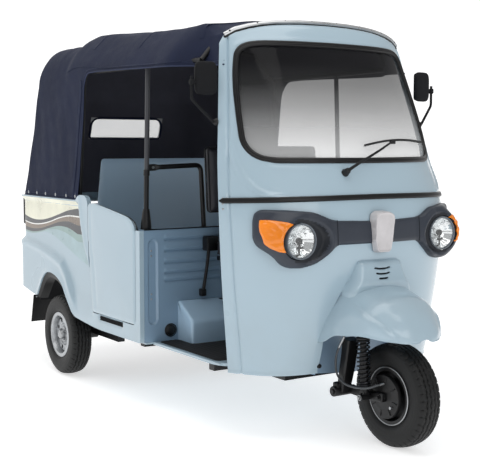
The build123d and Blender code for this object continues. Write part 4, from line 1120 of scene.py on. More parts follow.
def canopy_map(a, y, z, proud=0.0):
    """Point of the cloth for a point (a across, y, z) of the plain box round it."""
    P = np.stack(np.broadcast_arrays(np.asarray(a, float) * CAN_A, np.asarray(y, float), np.asarray(z, float)), -1)
    lim = np.array([CAN_A - CAN_R[0], CAN_Y1 - CAN_R[1], CAN_Z1 - CAN_R[2]])
    C = np.stack([np.clip(P[..., 0], -lim[0], lim[0]), np.minimum(P[..., 1], lim[1]), np.minimum(P[..., 2], lim[2])], -1)
    D = (P - C) / CAN_R
    mag = np.abs(D)
    q = 1.32 + 0.68 * soft(1.66, 1.88, P[..., 1])
    nrm = np.maximum((mag[..., 0] ** q + mag[..., 1] ** q + mag[..., 2] ** q), 1e-12) ** (1 / q)
    D = D / nrm[..., None] * (1 + proud / CAN_R)
    edge = (np.abs(P - C) > 1e-9).any(-1)
    Q = np.where(edge[..., None], C + D * CAN_R, P)
    x, yy, zz = Q[..., 0], Q[..., 1], Q[..., 2]
    u = x / CAN_A
    up = soft(1.36, 1.60, zz)
    rise = between(CROWN, yy, 1) - CAN_Z1 - 0.056 * u * u
    zz = zz + up * rise
    # cloth sags a little between its bows
    sag = 0.0
    for y0, y1, s in ((0.66, 1.12, 0.006), (1.12, 1.58, 0.006), (1.98, 2.26, 0.004)):
        t = np.clip((yy - y0) / (y1 - y0), 0, 1)
        sag = sag + s * np.sin(np.pi * t) ** 2
    zz = zz - up * sag * (1 - 0.5 * u * u)
    yy = yy - np.interp(zz, *np.array(LEAN).T) * soft(1.75, 2.43, yy)
    k = np.interp(zz, *np.array(NARROW).T)
    # the front section stands over the rear one
    k = k + 0.016 * soft(1.83, 1.745, yy) * soft(1.44, 1.58, zz) - 0.006 * np.exp(-((yy - 1.82) / 0.035) ** 2) * soft(1.50, 1.60, zz)
    zz = zz + 0.030 * soft(0.80, 0.55, yy) * np.exp(-((np.abs(u) - 0.90) / 0.14) ** 2) * soft(1.50, 1.60, zz)
    taper = 1 - 0.175 * (1 - np.clip((yy - 0.50) / 0.34, 0, 1)) ** 1.7
    x = x * k * taper
    # hung cloth: shallow folds on the side curtains, pulled in between the press studs
    side = soft(0.80, 0.97, np.abs(u)) * soft(1.46, 1.38, zz)
    wave = 0.0009 * np.sin(yy * 31.0 + 1.3 * np.sin(zz * 5.0)) + 0.0006 * np.sin(yy * 57.0 - zz * 9.0) + 0.0018 * np.sin(yy * 11.0 + zz * 4.0 + 0.7)
    x = x + np.sign(x) * side * (wave - 0.0035 * soft(1.46, 1.20, zz) * soft(0.90, 1.05, zz))
    back = soft(2.26, 2.40, yy + np.interp(zz, *np.array(LEAN).T)) * soft(0.92, 0.70, np.abs(u)) * soft(1.46, 1.38, zz)
    yy = yy + back * (0.0012 * np.sin(x * 29.0 + 0.8 * np.sin(zz * 6.0)) + 0.0026 * np.sin(x * 13.0 + 1.0) - 0.004 * soft(1.4, 1.2, zz))
    # small slack wrinkles on the roof, running from the bows
    zz = zz + up * (0.0016 * np.sin(yy * 44.0 + 3.0 * u) * soft(0.95, 0.5, np.abs(u)) + 0.0010 * np.sin(x * 38.0 + yy * 7.0))
    # the front edge tucks in behind the shell
    f = soft(0.80, 0.56, P[..., 1])
    wl = shell_w(np.clip(zz, 0.30, 1.70)) - 0.014
    ax = np.abs(x)
    x = np.sign(x) * (ax * (1 - f) + np.minimum(ax, wl) * f)
    k2 = soft(0.70, 0.52, P[..., 1])
    zz = np.where(zz > 1.45, zz * (1 - k2) + np.minimum(zz, arch_z(x) + 0.004) * k2, zz)
    yf = shell_y(np.minimum(np.abs(x), wl), np.minimum(zz, 1.70)) + 0.008
    yy = yy + np.maximum(0.0, yf - CAN_Y0) * soft(0.86, 0.50, P[..., 1])
    return np.stack([x, yy, zz], -1)


def canopy():
    g = Geo()
    ys = np.concatenate([np.linspace(CAN_Y0, CAN_Y1 - CAN_R[1], 150), CAN_Y1 - CAN_R[1] * (1 - np.sin(np.linspace(0, np.pi / 2, 12)[1:]) * 1.0)])
    ys[-1] = CAN_Y1
    inner = (CAN_A - CAN_R[0]) / CAN_A
    aa = np.concatenate([np.linspace(-1, -inner, 19)[:-1], np.linspace(-inner, inner, 50), np.linspace(inner, 1, 19)[1:]])
    zlow = np.linspace(CAN_Z0, CAN_Z1 - CAN_R[2], 58)
    zs = np.concatenate([zlow, np.linspace(CAN_Z1 - CAN_R[2], CAN_Z1, 19)[1:]])
    # roof
    A, Y = np.meshgrid(aa, ys, indexing="ij")
    P = canopy_map(A, Y, CAN_Z1)
    g.grid(P, 0)
    # sides, with the doorway cut out
    for s in (-1, 1):
        Y, Z = np.meshgrid(ys, zs, indexing="ij")

        def inside(u, w):
            q = canopy_map(np.full(np.shape(u), s * 1.0), u, w)
            return poly_sdf(q[..., 1], q[..., 2], OPENING)

        U, V, keep = carve(Y, Z, inside)
        edge = np.zeros(U.shape, bool)
        edge[:, -1] = edge[-1, :] = True
        U, V = np.where(edge, Y, U), np.where(edge, Z, V)
        g.grid(canopy_map(np.full(U.shape, s * 1.0), U, V), 0, keep=keep, flip=(s == 1))
    # back, with the window cut out
    A, Z = np.meshgrid(aa, zs, indexing="ij")
    WIN = rounded(np.array([(-0.216, 1.216), (0.216, 1.216), (0.216, 1.318), (-0.216, 1.318)]), [0.006, 0.006, 0.044, 0.044], 6)

    def insidew(u, w):
        q = canopy_map(u, CAN_Y1, w)
        return poly_sdf(q[..., 0], q[..., 2], WIN) - 0.002

    U, V, keep = carve(A, Z, insidew)
    edge = np.zeros(U.shape, bool)
    edge[:, -1] = edge[0, :] = edge[-1, :] = True
    U, V = np.where(edge, A, U), np.where(edge, Z, V)
    g.grid(canopy_map(U, CAN_Y1, V), 0, keep=keep, flip=True)
    V3 = np.concatenate(g.v)
    g.v = [V3]
    ob = make("canopy_v", g, ["canopy_cloth"], replaces=["canopy"], outward=True, angle=60, weld=4e-5)
    me = ob.data
    # outward check: the roof's normals point up
    up = sum(p.normal.z * p.area for p in me.polygons)
    if up < 0:
        me.flip_normals()
    area = sum(p.area for p in me.polygons)
    me.materials.append(M["canopy_lining"])
    md = ob.modifiers.new("cloth", "SOLIDIFY")
    md.thickness, md.offset, md.material_offset, md.material_offset_rim, md.use_even_offset = 0.0028, -1.0, 1, 0, False
    flatten(ob)
    ob.data.set_sharp_from_angle(angle=math.radians(60))

    # window of clear sheet, sewn in
    X, Z = np.meshgrid(np.linspace(-0.224, 0.224, 33), np.linspace(1.208, 1.326, 15), indexing="ij")
    Q = canopy_map(X / CAN_A / 0.985, CAN_Y1, Z)
    Q[..., 0], Q[..., 2] = X, Z
    Q[..., 1] -= 0.0045
    g = Geo()
    g.grid(Q, 0, flip=True)
    pane = make("rear_window_v", g, ["clear_sheet"], replaces=["rear_window"], outward=False, thick=0.0012)
    # sewn trims: doorway piping, seams, window border, stitched hem and press studs
    gp, gs, gw = Geo(), Geo(), Geo()

    def trace(curve, s):
        """Doorway outline points lifted onto the side cloth."""
        out = []
        for yy, zz in curve:
            z0, y0 = zz, yy
            for _ in range(8):
                q = canopy_map(np.array(s * 1.0), np.array(y0), np.array(z0))
                y0 += yy - q[1]
                z0 += zz - q[2]
                z0 = min(z0, CAN_Z1)
            out.append(canopy_map(np.array(s * 1.0), np.array(y0), np.array(z0)))
        return np.array(out)

    door = OPENING[(OPENING[:, 0] > 0.505) & (OPENING[:, 1] > 0.915)]
    order = np.argsort(-np.arange(len(door)))
    door = door[order] if door[0, 0] > door[-1, 0] else door
    door = even(door, 0.012, closed=False)
    for s in (-1, 1):
        path = trace(door, s)
        path[:, 0] += s * 0.0012
        sweep(gp, path, circle(0.0031, 8), mat=0)
        # line of stitching a finger's width inside the edge
        off = []
        for i in range(len(door)):
            t = door[min(i + 1, len(door) - 1)] - door[max(i - 1, 0)]
            t /= np.linalg.norm(t)
            n = np.array([-t[1], t[0]])
            if poly_sdf(np.array([door[i, 0] + n[0] * 0.01]), np.array([door[i, 1] + n[1] * 0.01]), OPENING)[0] < 0:
                n = -n
            off.append(door[i] + n * 0.016)
        p = trace(np.array(off), s)
        p = even(p, 0.0062, closed=False)
        for i in range(0, len(p) - 1, 1):
            a, b = p[i], p[i] + (p[i + 1] - p[i]) * 0.60
            out = np.array([s * 0.0006, 0, 0])
            sweep(gs, np.array([a + out, (a + b) / 2 + out * 2.0, b + out]), circle(0.0008, 4), mat=0, caps=False)
        # vertical seam behind the doorway and its binding
        seam = [(1.730, 0.905), (1.715, 1.02), (1.690, 1.16), (1.664, 1.30), (1.640, 1.42), (1.628, 1.48)]
        p = trace(even(smooth_path(seam, 40), 0.012, closed=False), s)
        sweep(gw, p + np.array([s * 0.0010, 0, 0]), [(-0.010, -0.0010), (-0.0095, 0.0013), (0, 0.0019), (0.0095, 0.0013), (0.010, -0.0010)], up=np.array([s * 1.0, 0, 0]), mat=0)
        for dx in (-0.0065, 0.0065):
            q = trace(even(smooth_path([(a + dx, b) for a, b in seam], 40), 0.0062, closed=False), s)
            for i in range(len(q) - 1):
                a, b = q[i], q[i] + (q[i + 1] - q[i]) * 0.6
                out = np.array([s * 0.0026, 0, 0])
                sweep(gs, np.array([a + out, b + out]), circle(0.0008, 4), mat=0, caps=False)
    # welt along the fold between roof and valance, and bow seams over the roof
    for s in (-1, 1):
        yy = np.linspace(0.53, 1.78, 120)
        P = canopy_map(np.full(120, s * 1.0), yy, np.full(120, CAN_Z1 - CAN_R[2] * 0.90))
        sweep(gw, P, circle(0.0032, 8), mat=0)
    for y0 in (0.655, 1.12, 1.58):
        a = np.concatenate([np.linspace(-1, 1, 121)])
        P = canopy_map(a, np.full(121, y0), CAN_Z1)
        sweep(gw, P, [(-0.011, -0.0012), (-0.0105, 0.0012), (0, 0.0018), (0.0105, 0.0012), (0.011, -0.0012)], up=np.array([0, 0.0, 1.0]), mat=0)
    # hem at the bottom and studs, down both sides and across the back
    hem = [canopy_map(np.full(90, -1.0), np.linspace(1.70, CAN_Y1, 90), np.full(90, CAN_Z0 + 0.002)),
           canopy_map(np.linspace(-1, 1, 120)[1:-1], np.full(118, CAN_Y1), np.full(118, CAN_Z0 + 0.002)),
           canopy_map(np.full(90, 1.0), np.linspace(CAN_Y1, 1.70, 90), np.full(90, CAN_Z0 + 0.002))]
    hem = even(np.vstack(hem), 0.012, closed=False)
    sweep(gp, hem, circle(0.0036, 8), mat=0)
    t, sd, u = frames(hem, up=np.array([0, 0, 1.0]))
    row = hem + np.array([0, 0, 0.016])
    q = even(row, 0.0062, closed=False)
    qt, qs, _ = frames(q, up=np.array([0, 0, 1.0]))
    cen = np.array([0, 2.0, 0.9])
    for i in range(len(q) - 1):
        o = qs[i] if np.dot(qs[i], q[i] - cen) > 0 else -qs[i]
        a, b = q[i] + o * 0.0008, q[i] + (q[i + 1] - q[i]) * 0.6 + o * 0.0008
        sweep(gs, np.array([a, b]), circle(0.0008, 4), mat=0, caps=False)
    make("canopy_piping", gp, ["canopy_piping"], angle=60)
    make("canopy_bindings", gw, ["canopy_cloth"], angle=40)
    make("canopy_stitching", gs, ["thread"], angle=60)
    gk = Geo()
    for s in (-1, 1):
        for y in (1.700, 1.812, 1.936, 2.066, 2.190, 2.308):
            q = canopy_map(np.array(s * 1.0), np.array(y), np.array(0.922))
            lathe(gk, [(-0.0015, 0.0085), (0.0014, 0.0082), (0.0030, 0.0066), (0.0036, 0.0040), (0.0028, 0.0032), (0.0028, 0.0)], (0, 0, 0), "X", 18, 0)
            k = gk.v[-1]
            k[:, 0] *= s
            gk.v[-1] = k + q
            # stitched tab under it
            block(gk, q[0] - 0.0012, q[0] + 0.0012, q[1] - 0.009, q[1] + 0.009, q[2] - 0.019, q[2] + 0.019, 0.001, 1, 1)
    for x in (-0.42, -0.21, 0.0, 0.21, 0.42):
        q = canopy_map(np.array(x / CAN_A), np.array(CAN_Y1), np.array(0.922))
        lathe(gk, [(-0.0015, 0.0085), (0.0014, 0.0082), (0.0030, 0.0066), (0.0036, 0.0040), (0.0028, 0.0032), (0.0028, 0.0)], q, "Y", 18, 0)
    make("canopy_studs", gk, ["zinc", "canopy_piping"], angle=35)
    gb = Geo()
    b = rounded(np.array([(-0.216, 1.216), (0.216, 1.216), (0.216, 1.318), (-0.216, 1.318)]), [0.006, 0.006, 0.044, 0.044], 6)
    b = even(b, 0.01)
    for push, lift in ((0.0055, 0.0014),):
        ring = []
        for i in range(len(b)):
            t = b[(i + 1) % len(b)] - b[i - 1]
            t /= np.linalg.norm(t)
            n = np.array([t[1], -t[0]])
            ring.append(b[i] + n * push)
        Q = canopy_map(np.array(ring)[:, 0] / CAN_A / 0.985, np.full(len(ring), CAN_Y1), np.array(ring)[:, 1])
        Q[:, 0], Q[:, 2] = np.array(ring)[:, 0], np.array(ring)[:, 1]
        for sgn in (1, -1):
            R = Q.copy()
            R[:, 1] += 0.0012 if sgn > 0 else -0.0052
            sweep(gb, R, [(-0.0068, -0.0012), (-0.0064, 0.0010), (0, 0.0015), (0.0064, 0.0010), (0.0068, -0.0012)], up=np.array([0, sgn * 1.0, 0]), closed=True)
    make("rear_window_border", gb, ["canopy_cloth"], angle=50)
    return area


CANOPY_AREA = canopy()


# ------------------------------------------------------------------ rear body
BH, TAIL, CR = 0.600, 2.455, 0.090
S_CORNER = TAIL - CR
S_END = S_CORNER + CR * math.pi / 2


def tub_point(s, z, h=0.0, side=-1):
    """Outside of the rear body: s runs back along the side and round the rear corner."""
    s, z, h = np.broadcast_arrays(np.asarray(s, float), np.asarray(z, float), np.asarray(h, float))
    a = np.clip((s - S_CORNER) / CR, 0, math.pi / 2)
    r = CR + h
    x = BH - CR + r * np.cos(a)
    y = np.minimum(s, S_CORNER) + r * np.sin(a)
    return np.stack([side * x, y, z], -1)


TUB_OUT = np.array([(1.000, 0.305), (1.420, 0.305), (1.590, 0.317), (1.705, 0.329), (1.747, 0.368), (1.801, 0.421), (1.842, 0.474), (1.911, 0.508), (1.985, 0.521),
                    (2.050, 0.514), (2.098, 0.481), (2.178, 0.376), (2.260, 0.386), (2.360, 0.404), (2.460, 0.418), (2.560, 0.420), (2.560, 0.905), (1.672, 0.905), (1.655, 0.921),
                    (1.615, 0.934), (1.565, 0.931), (1.541, 0.914), (1.5325, 0.890), (1.5325, 0.716), (1.4915, 0.378), (1.476, 0.3775), (1.060, 0.3775), (1.0395, 0.398), (1.0395, 0.800), (1.000, 0.800)])
TUB_ROUND = [0.004, 0.05, 0.05, 0.02, 0.05, 0.05, 0.05, 0.05, 0.05, 0.04, 0.05, 0.015, 0.05, 0.05, 0.05, 0, 0, 0.01, 0.02, 0.03, 0.03, 0.02, 0.02, 0.06, 0.012, 0.01, 0.02, 0.02, 0.004, 0.003]
TUB_OUT = rounded(TUB_OUT, TUB_ROUND, 4)
CREST = np.array([(2.60, 0.668), (2.299, 0.660), (2.131, 0.640), (1.971, 0.612), (1.860, 0.582), (1.797, 0.525), (1.745, 0.445), (1.690, 0.370), (1.64, 0.33)])
PILLAR = np.array([(1.668, 0.95), (1.650, 0.905), (1.620, 0.787), (1.577, 0.669), (1.512, 0.579), (1.490, 0.437), (1.480, 0.36)])
RECESS = np.vstack([CREST, PILLAR[::-1][:-1], [(1.668, 1.0), (2.60, 1.0)]])


def tub_height(s, z):
    """Pressed shape of the side: flank set in above the wheel bulge, raised pilaster behind the door."""
    s, z = np.asarray(s, float), np.asarray(z, float)
    d = poly_sdf(s, z, RECESS)
    dc, _ = line_dist(s, z, CREST)
    dp, _ = line_dist(s, z, PILLAR)
    near_crest = dc < dp
    w = np.where(near_crest, 0.020, 0.012)
    k = soft(w * 0.35, -w, d)
    k = k * soft(0.33, 0.47, z) * soft(2.50, 2.40, s) * soft(0.903, 0.872, z)
    h = -0.0190 * k
    # crown on the crest of the bulge and a soft flare round the wheel opening
    h += 0.0050 * np.exp(-((d - 0.012) / 0.015) ** 2) * near_crest * soft(0.34, 0.46, z) * soft(2.50, 2.38, s)
    arch = line_dist(s, z, TUB_OUT[(TUB_OUT[:, 0] > 1.72) & (TUB_OUT[:, 0] < 2.17) & (TUB_OUT[:, 1] < 0.56)])[0]
    h += 0.0050 * np.exp(-(arch / 0.020) ** 2)
    # pilaster crown
    h += 0.0030 * np.exp(-((dp - 0.020) / 0.014) ** 2) * (d > 0) * soft(0.42, 0.55, z)
    # rolled top edge and bottom edge
    h += 0.0016 * np.exp(-((z - 0.900) / 0.006) ** 2) * soft(1.66, 1.70, s)
    h += 0.0015 * np.exp(-((z - 0.309) / 0.006) ** 2) * soft(1.62, 1.56, s)
    # black vent in the sill
    v = poly_sdf(s, z, np.array([(1.173, 0.3455), (1.416, 0.3465), (1.424, 0.3775), (1.173, 0.3725)]))
    h -= 0.007 * soft(0.0015, -0.0015, v)
    return h


def side_panels():
    s_fine = np.concatenate([np.arange(1.000, 2.362, 0.0098), S_CORNER + np.linspace(0, CR * math.pi / 2, 13)])
    s_fine[np.argmin(np.abs(s_fine - 1.0))] = 1.0
    zz = np.concatenate([np.arange(0.300, 0.905, 0.0088), [0.905], np.arange(0.912, 0.944, 0.007)])
    for name, side in (("right", -1), ("left", 1)):
        S, Z = np.meshgrid(s_fine, zz, indexing="ij")
        U, V, keep = carve(S, Z, lambda u, w: -poly_sdf(u, w, TUB_OUT))
        U[0, :] = 1.0
        U[-1, :] = S_END
        g = Geo()
        g.grid(tub_point(U, V, tub_height(U, V), side), 0, keep=keep, flip=(side == -1))
        ob = make("side_panel_%s_v" % name, g, ["body_paint"], replaces=["side_panel_" + name], thick=0.021, outward=False, angle=42)
    # black louvre insert in the sill vents, with two cross ribs
    g = Geo()
    for side in (-1, 1):
        S, Z = np.meshgrid(np.linspace(1.172, 1.420, 26), np.linspace(0.3465, 0.3745, 6), indexing="ij")
        Z = Z + 0.002 * (S - 1.17) / 0.25
        g.grid(tub_point(S, Z, -0.0055, side), 0, flip=(side == -1))
        for k in range(3):
            z0 = 0.353 + 0.0075 * k
            a = tub_point(1.176, z0, -0.004, side)
            b = tub_point(1.414, z0 + 0.002, -0.004, side)
            sweep(g, np.array([a, b]), circle(0.0017, 6), mat=0)
    make("sill_vents", g, ["inner_dark"], outward=False)
    # seal in the door gap
    g = Geo()
    for side in (-1, 1):
        path = bend([(side * 0.586, 1.0360, 0.800), (side * 0.586, 1.0360, 0.3740), (side * 0.586, 1.4940, 0.3740), (side * 0.586, 1.5355, 0.716), (side * 0.586, 1.5355, 0.886)], 0.02)
        sweep(g, path, circle(0.0055, 10))
    make("door_seals", g, ["black_rubber"], angle=50)


side_panels()


def film_stripes():
    """Wavy trim film on the flanks: plain bands in cream, slate, brown, sage and teal."""
    y = [1.690, 1.80, 1.92, 2.04, 2.16, 2.28, 2.40, 2.50]

    def curve(z):
        k = smooth_path([(a, b) for a, b in zip(y, z)], 70)
        return k

    # from top to bottom: boundaries at the listed stations
    top = curve([0.8985] * 8)
    b1 = curve([0.862, 0.848, 0.822, 0.797, 0.781, 0.781, 0.800, 0.818])
    b2 = curve([0.826, 0.824, 0.806, 0.780, 0.762, 0.757, 0.768, 0.778])
    b3 = curve([0.819, 0.8175, 0.800, 0.774, 0.756, 0.751, 0.762, 0.772])
    b4 = curve([0.780, 0.792, 0.782, 0.758, 0.736, 0.728, 0.737, 0.748])
    b5 = curve([0.737, 0.760, 0.762, 0.745, 0.722, 0.711, 0.718, 0.729])
    b6 = curve([0.700, 0.728, 0.742, 0.737, 0.716, 0.703, 0.709, 0.720])
    g = Geo()

    def strip(a, b, mat, side, s0=None, s1=2.494, lift=0.0006, rows=7):
        n = 90
        lo = 1.67 if s0 is None else s0
        ss = np.linspace(lo, s1, n)
        za, zb = np.interp(ss, a[:, 0], a[:, 1]), np.interp(ss, b[:, 0], b[:, 1])
        # leading edge follows the pilaster
        P = []
        for s, p, q in zip(ss, za, zb):
            P.append([(s, p + (q - p) * t) for t in np.linspace(0, 1, rows)])
        P = np.array(P)
        edge = np.interp(P[..., 1], PILLAR[::-1, 1], PILLAR[::-1, 0]) + 0.017
        P[..., 0] = edge + (P[..., 0] - lo) * (s1 - edge) / (s1 - lo)
        za2, zb2 = np.interp(P[..., 0], a[:, 0], a[:, 1]), np.interp(P[..., 0], b[:, 0], b[:, 1])
        P[..., 1] = za2 + (zb2 - za2) * np.linspace(0, 1, rows)[None, :]
        h = tub_height(P[..., 0], P[..., 1]) + lift
        g.grid(tub_point(P[..., 0], P[..., 1], h, side), mat, flip=(side == 1))

    for side in (-1, 1):
        strip(top, b1, 0, side, rows=15)
        strip(b1, b2, 1, side)
        strip(b2, b3, 3, side, rows=3)
        strip(b3, b4, 2, side)
        strip(b4, b5, 1, side, rows=5)
        strip(b5, b6, 4, side, rows=5)
        # lower leaf in pale teal, tapering back to a point
        n, rows = 60, 22
        ss = np.linspace(0, 1, n)
        P = np.zeros((n, rows, 2))
        for i, t in enumerate(ss):
            for j, v in enumerate(np.linspace(0, 1, rows)):
                zt = np.interp(1.60 + 0.52 * t, b6[:, 0], b6[:, 1])
                zb = 0.580 + (zt - 0.580) * t ** 0.8
                z = zt + (zb - zt) * v
                x0 = np.interp(z, PILLAR[::-1, 1], PILLAR[::-1, 0]) + 0.017
                P[i, j] = (x0 + (2.12 - x0) * t ** 1.05, z)
        zt = np.interp(P[..., 0], b6[:, 0], b6[:, 1])
        P[..., 1] = np.minimum(P[..., 1], zt)
        P[:, 0, 1] = zt[:, 0]
        h = tub_height(P[..., 0], P[..., 1]) + 0.0006
        g.grid(tub_point(P[..., 0], P[..., 1], h, side), 5, flip=(side == 1))
    make("flank_film", g, ["cream_film", "ink_film", "brown_film", "white_film", "sage_film", "teal_film"], outward=False, angle=60)


film_stripes()

DOOR_OUT = rounded(np.array([(1.0435, 0.3815), (1.487, 0.3815), (1.528, 0.716), (1.529, 0.8965), (1.444, 0.8985), (1.279, 0.878), (1.119, 0.856), (1.071, 0.838), (1.0435, 0.803)]),
                   [0.022, 0.014, 0.06, 0.026, 0.03, 0.03, 0.03, 0.03, 0.03], 5)


def doors():
    for name, side in (("right", -1), ("left", 1)):
        S, Z = np.meshgrid(np.arange(1.038, 1.536, 0.0082), np.arange(0.376, 0.906, 0.0084), indexing="ij")
        U, V, keep = carve(S, Z, lambda u, w: -poly_sdf(u, w, DOOR_OUT))
        d = -poly_sdf(U, V, DOOR_OUT)
        h = 0.0035 - 0.0045 * (1 - np.sqrt(np.clip(1 - (1 - np.clip(d / 0.008, 0, 1)) ** 2, 0, 1)))
        # a long shallow crown and the faint flute that runs up behind it
        h += 0.0035 * soft(0.0, 0.18, d) * 1.0
        flute = np.array([(1.436, 0.400), (1.452, 0.560), (1.486, 0.720), (1.492, 0.870)])
        dd, sg = line_dist(U, V, flute)
        h += -0.0016 * np.exp(-(dd / 0.012) ** 2) * soft(0.385, 0.43, V) * soft(0.89, 0.86, V)
        g = Geo()
        g.grid(np.stack([side * (BH + h), U, V], -1), 0, keep=keep, flip=(side == -1))
        make("side_door_%s_v" % name, g, ["body_paint"], body="side_door_" + name, replaces=["side_door_" + name], thick=0.020, outward=False, angle=42)
        # inside: seal and a bolt
        g = Geo()
        x = side * (BH - 0.0175)
        q = even(DOOR_OUT, 0.012)
        c = q.mean(0)
        ring = q + (c - q) * 0.035
        path = np.array([(x - side * 0.001, a, b) for a, b in ring])
        sweep(g, path, circle(0.0042, 8), closed=True, mat=1)
        block(g, min(x - side * 0.010, x), max(x - side * 0.010, x), 1.060, 1.150, 0.655, 0.685, 0.003, 2, 2)
        pipe(g, [(x - side * 0.006, 1.048, 0.670), (x - side * 0.006, 1.165, 0.670)], 0.005, 12, 2)
        pipe(g, bend([(x - side * 0.006, 1.120, 0.670), (x - side * 0.026, 1.120, 0.670), (x - side * 0.026, 1.120, 0.640)], 0.006), 0.0035, 10, 2)
        make("door_fittings_%s" % name, g, ["body_paint", "black_rubber", "zinc"], body="side_door_" + name, angle=35)


doors()


# ------------------------------------------------------------------ bulkhead, floor and driver's surroundings
def bulkhead():
    hw = BH - 0.0215
    xs = np.linspace(-hw, hw, 233)
    zs = np.concatenate([np.arange(0.306, 0.790, 0.0050), [0.790, 0.795, 0.800]])
    X, Z = np.meshgrid(xs, zs, indexing="ij")
    Y = np.full(X.shape, 1.000)
    # horizontal swages
    for z0 in (0.573, 0.608, 0.653, 0.706, 0.755):
        end = soft(0.480, 0.468, np.abs(X))
        Y += end * (0.0085 * np.exp(-((Z - z0) / 0.0058) ** 2) - 0.0050 * np.exp(-((Z - z0 - 0.013) / 0.0075) ** 2))
    # sunk panels at both ends, with round ends
    for s in (-1, 1):
        cx = s * 0.5355
        zc = np.clip(Z, 0.384 + 0.0225, 0.759 - 0.0225)
        d = np.hypot(X - cx, Z - zc) - 0.0225
        Y += 0.0060 * soft(0.0015, -0.0035, d) - 0.0012 * np.exp(-((d - 0.003) / 0.003) ** 2)
    Y += 0.0025 * soft(0.785, 0.798, Z)
    g = Geo()
    g.grid(np.stack([X, Y, Z], -1), 0)
    # top ledge and the back
    lip = [(1.0025, 0.800), (1.0050, 0.8025), (1.0100, 0.8030), (1.068, 0.8030), (1.0715, 0.8005), (1.0720, 0.796), (1.0720, 0.788), (1.026, 0.788), (1.022, 0.784), (1.022, 0.306)]
    xs2 = np.linspace(-hw, hw, 60)
    g.grid(np.array([[(x, a, b) for a, b in lip] for x in xs2]), 0)
    for s in (-1, 1):
        prof = [(1.000, 0.306), (1.000, 0.800)] + lip[1:]
        g.cap(np.array([(s * hw, a, b) for a, b in prof]), 0, flip=(s == 1))
    # the bulkhead takes a darker copy of the body paint: painted shade
    make("bulkhead_v", g, ["paint_shade"], replaces=["bulkhead"], angle=35)
    g = Geo()
    for s in (-1, 1):
        for z in (0.710, 0.687, 0.518, 0.496):
            screw(g, (s * 0.540, 1.0062, z), (0, -1, 0), 0.0042, 0.0026, 0)
        screw(g, (s * 0.448, 1.0, 0.352), (0, -1, 0), 0.024, 0.010, 1)
        lathe(g, [(0.0, 0.030), (-0.004, 0.030), (-0.006, 0.027), (-0.006, 0.025)], (s * 0.448, 1.0, 0.352), "Y", 32, 1)
    make("bulkhead_screws", g, ["zinc", "black_plastic"], angle=35)
    # trim strip along the top edge
    g = Geo()
    sweep(g, np.array([(-0.575, 1.004, 0.8032), (0.575, 1.004, 0.8032)]), [(-0.004, -0.002), (-0.004, 0.0018), (0, 0.003), (0.004, 0.0018), (0.004, -0.002)], up=np.array([0, 0, 1.0]))
    make("bulkhead_strip", g, ["black_rubber"], angle=50)


bulkhead()


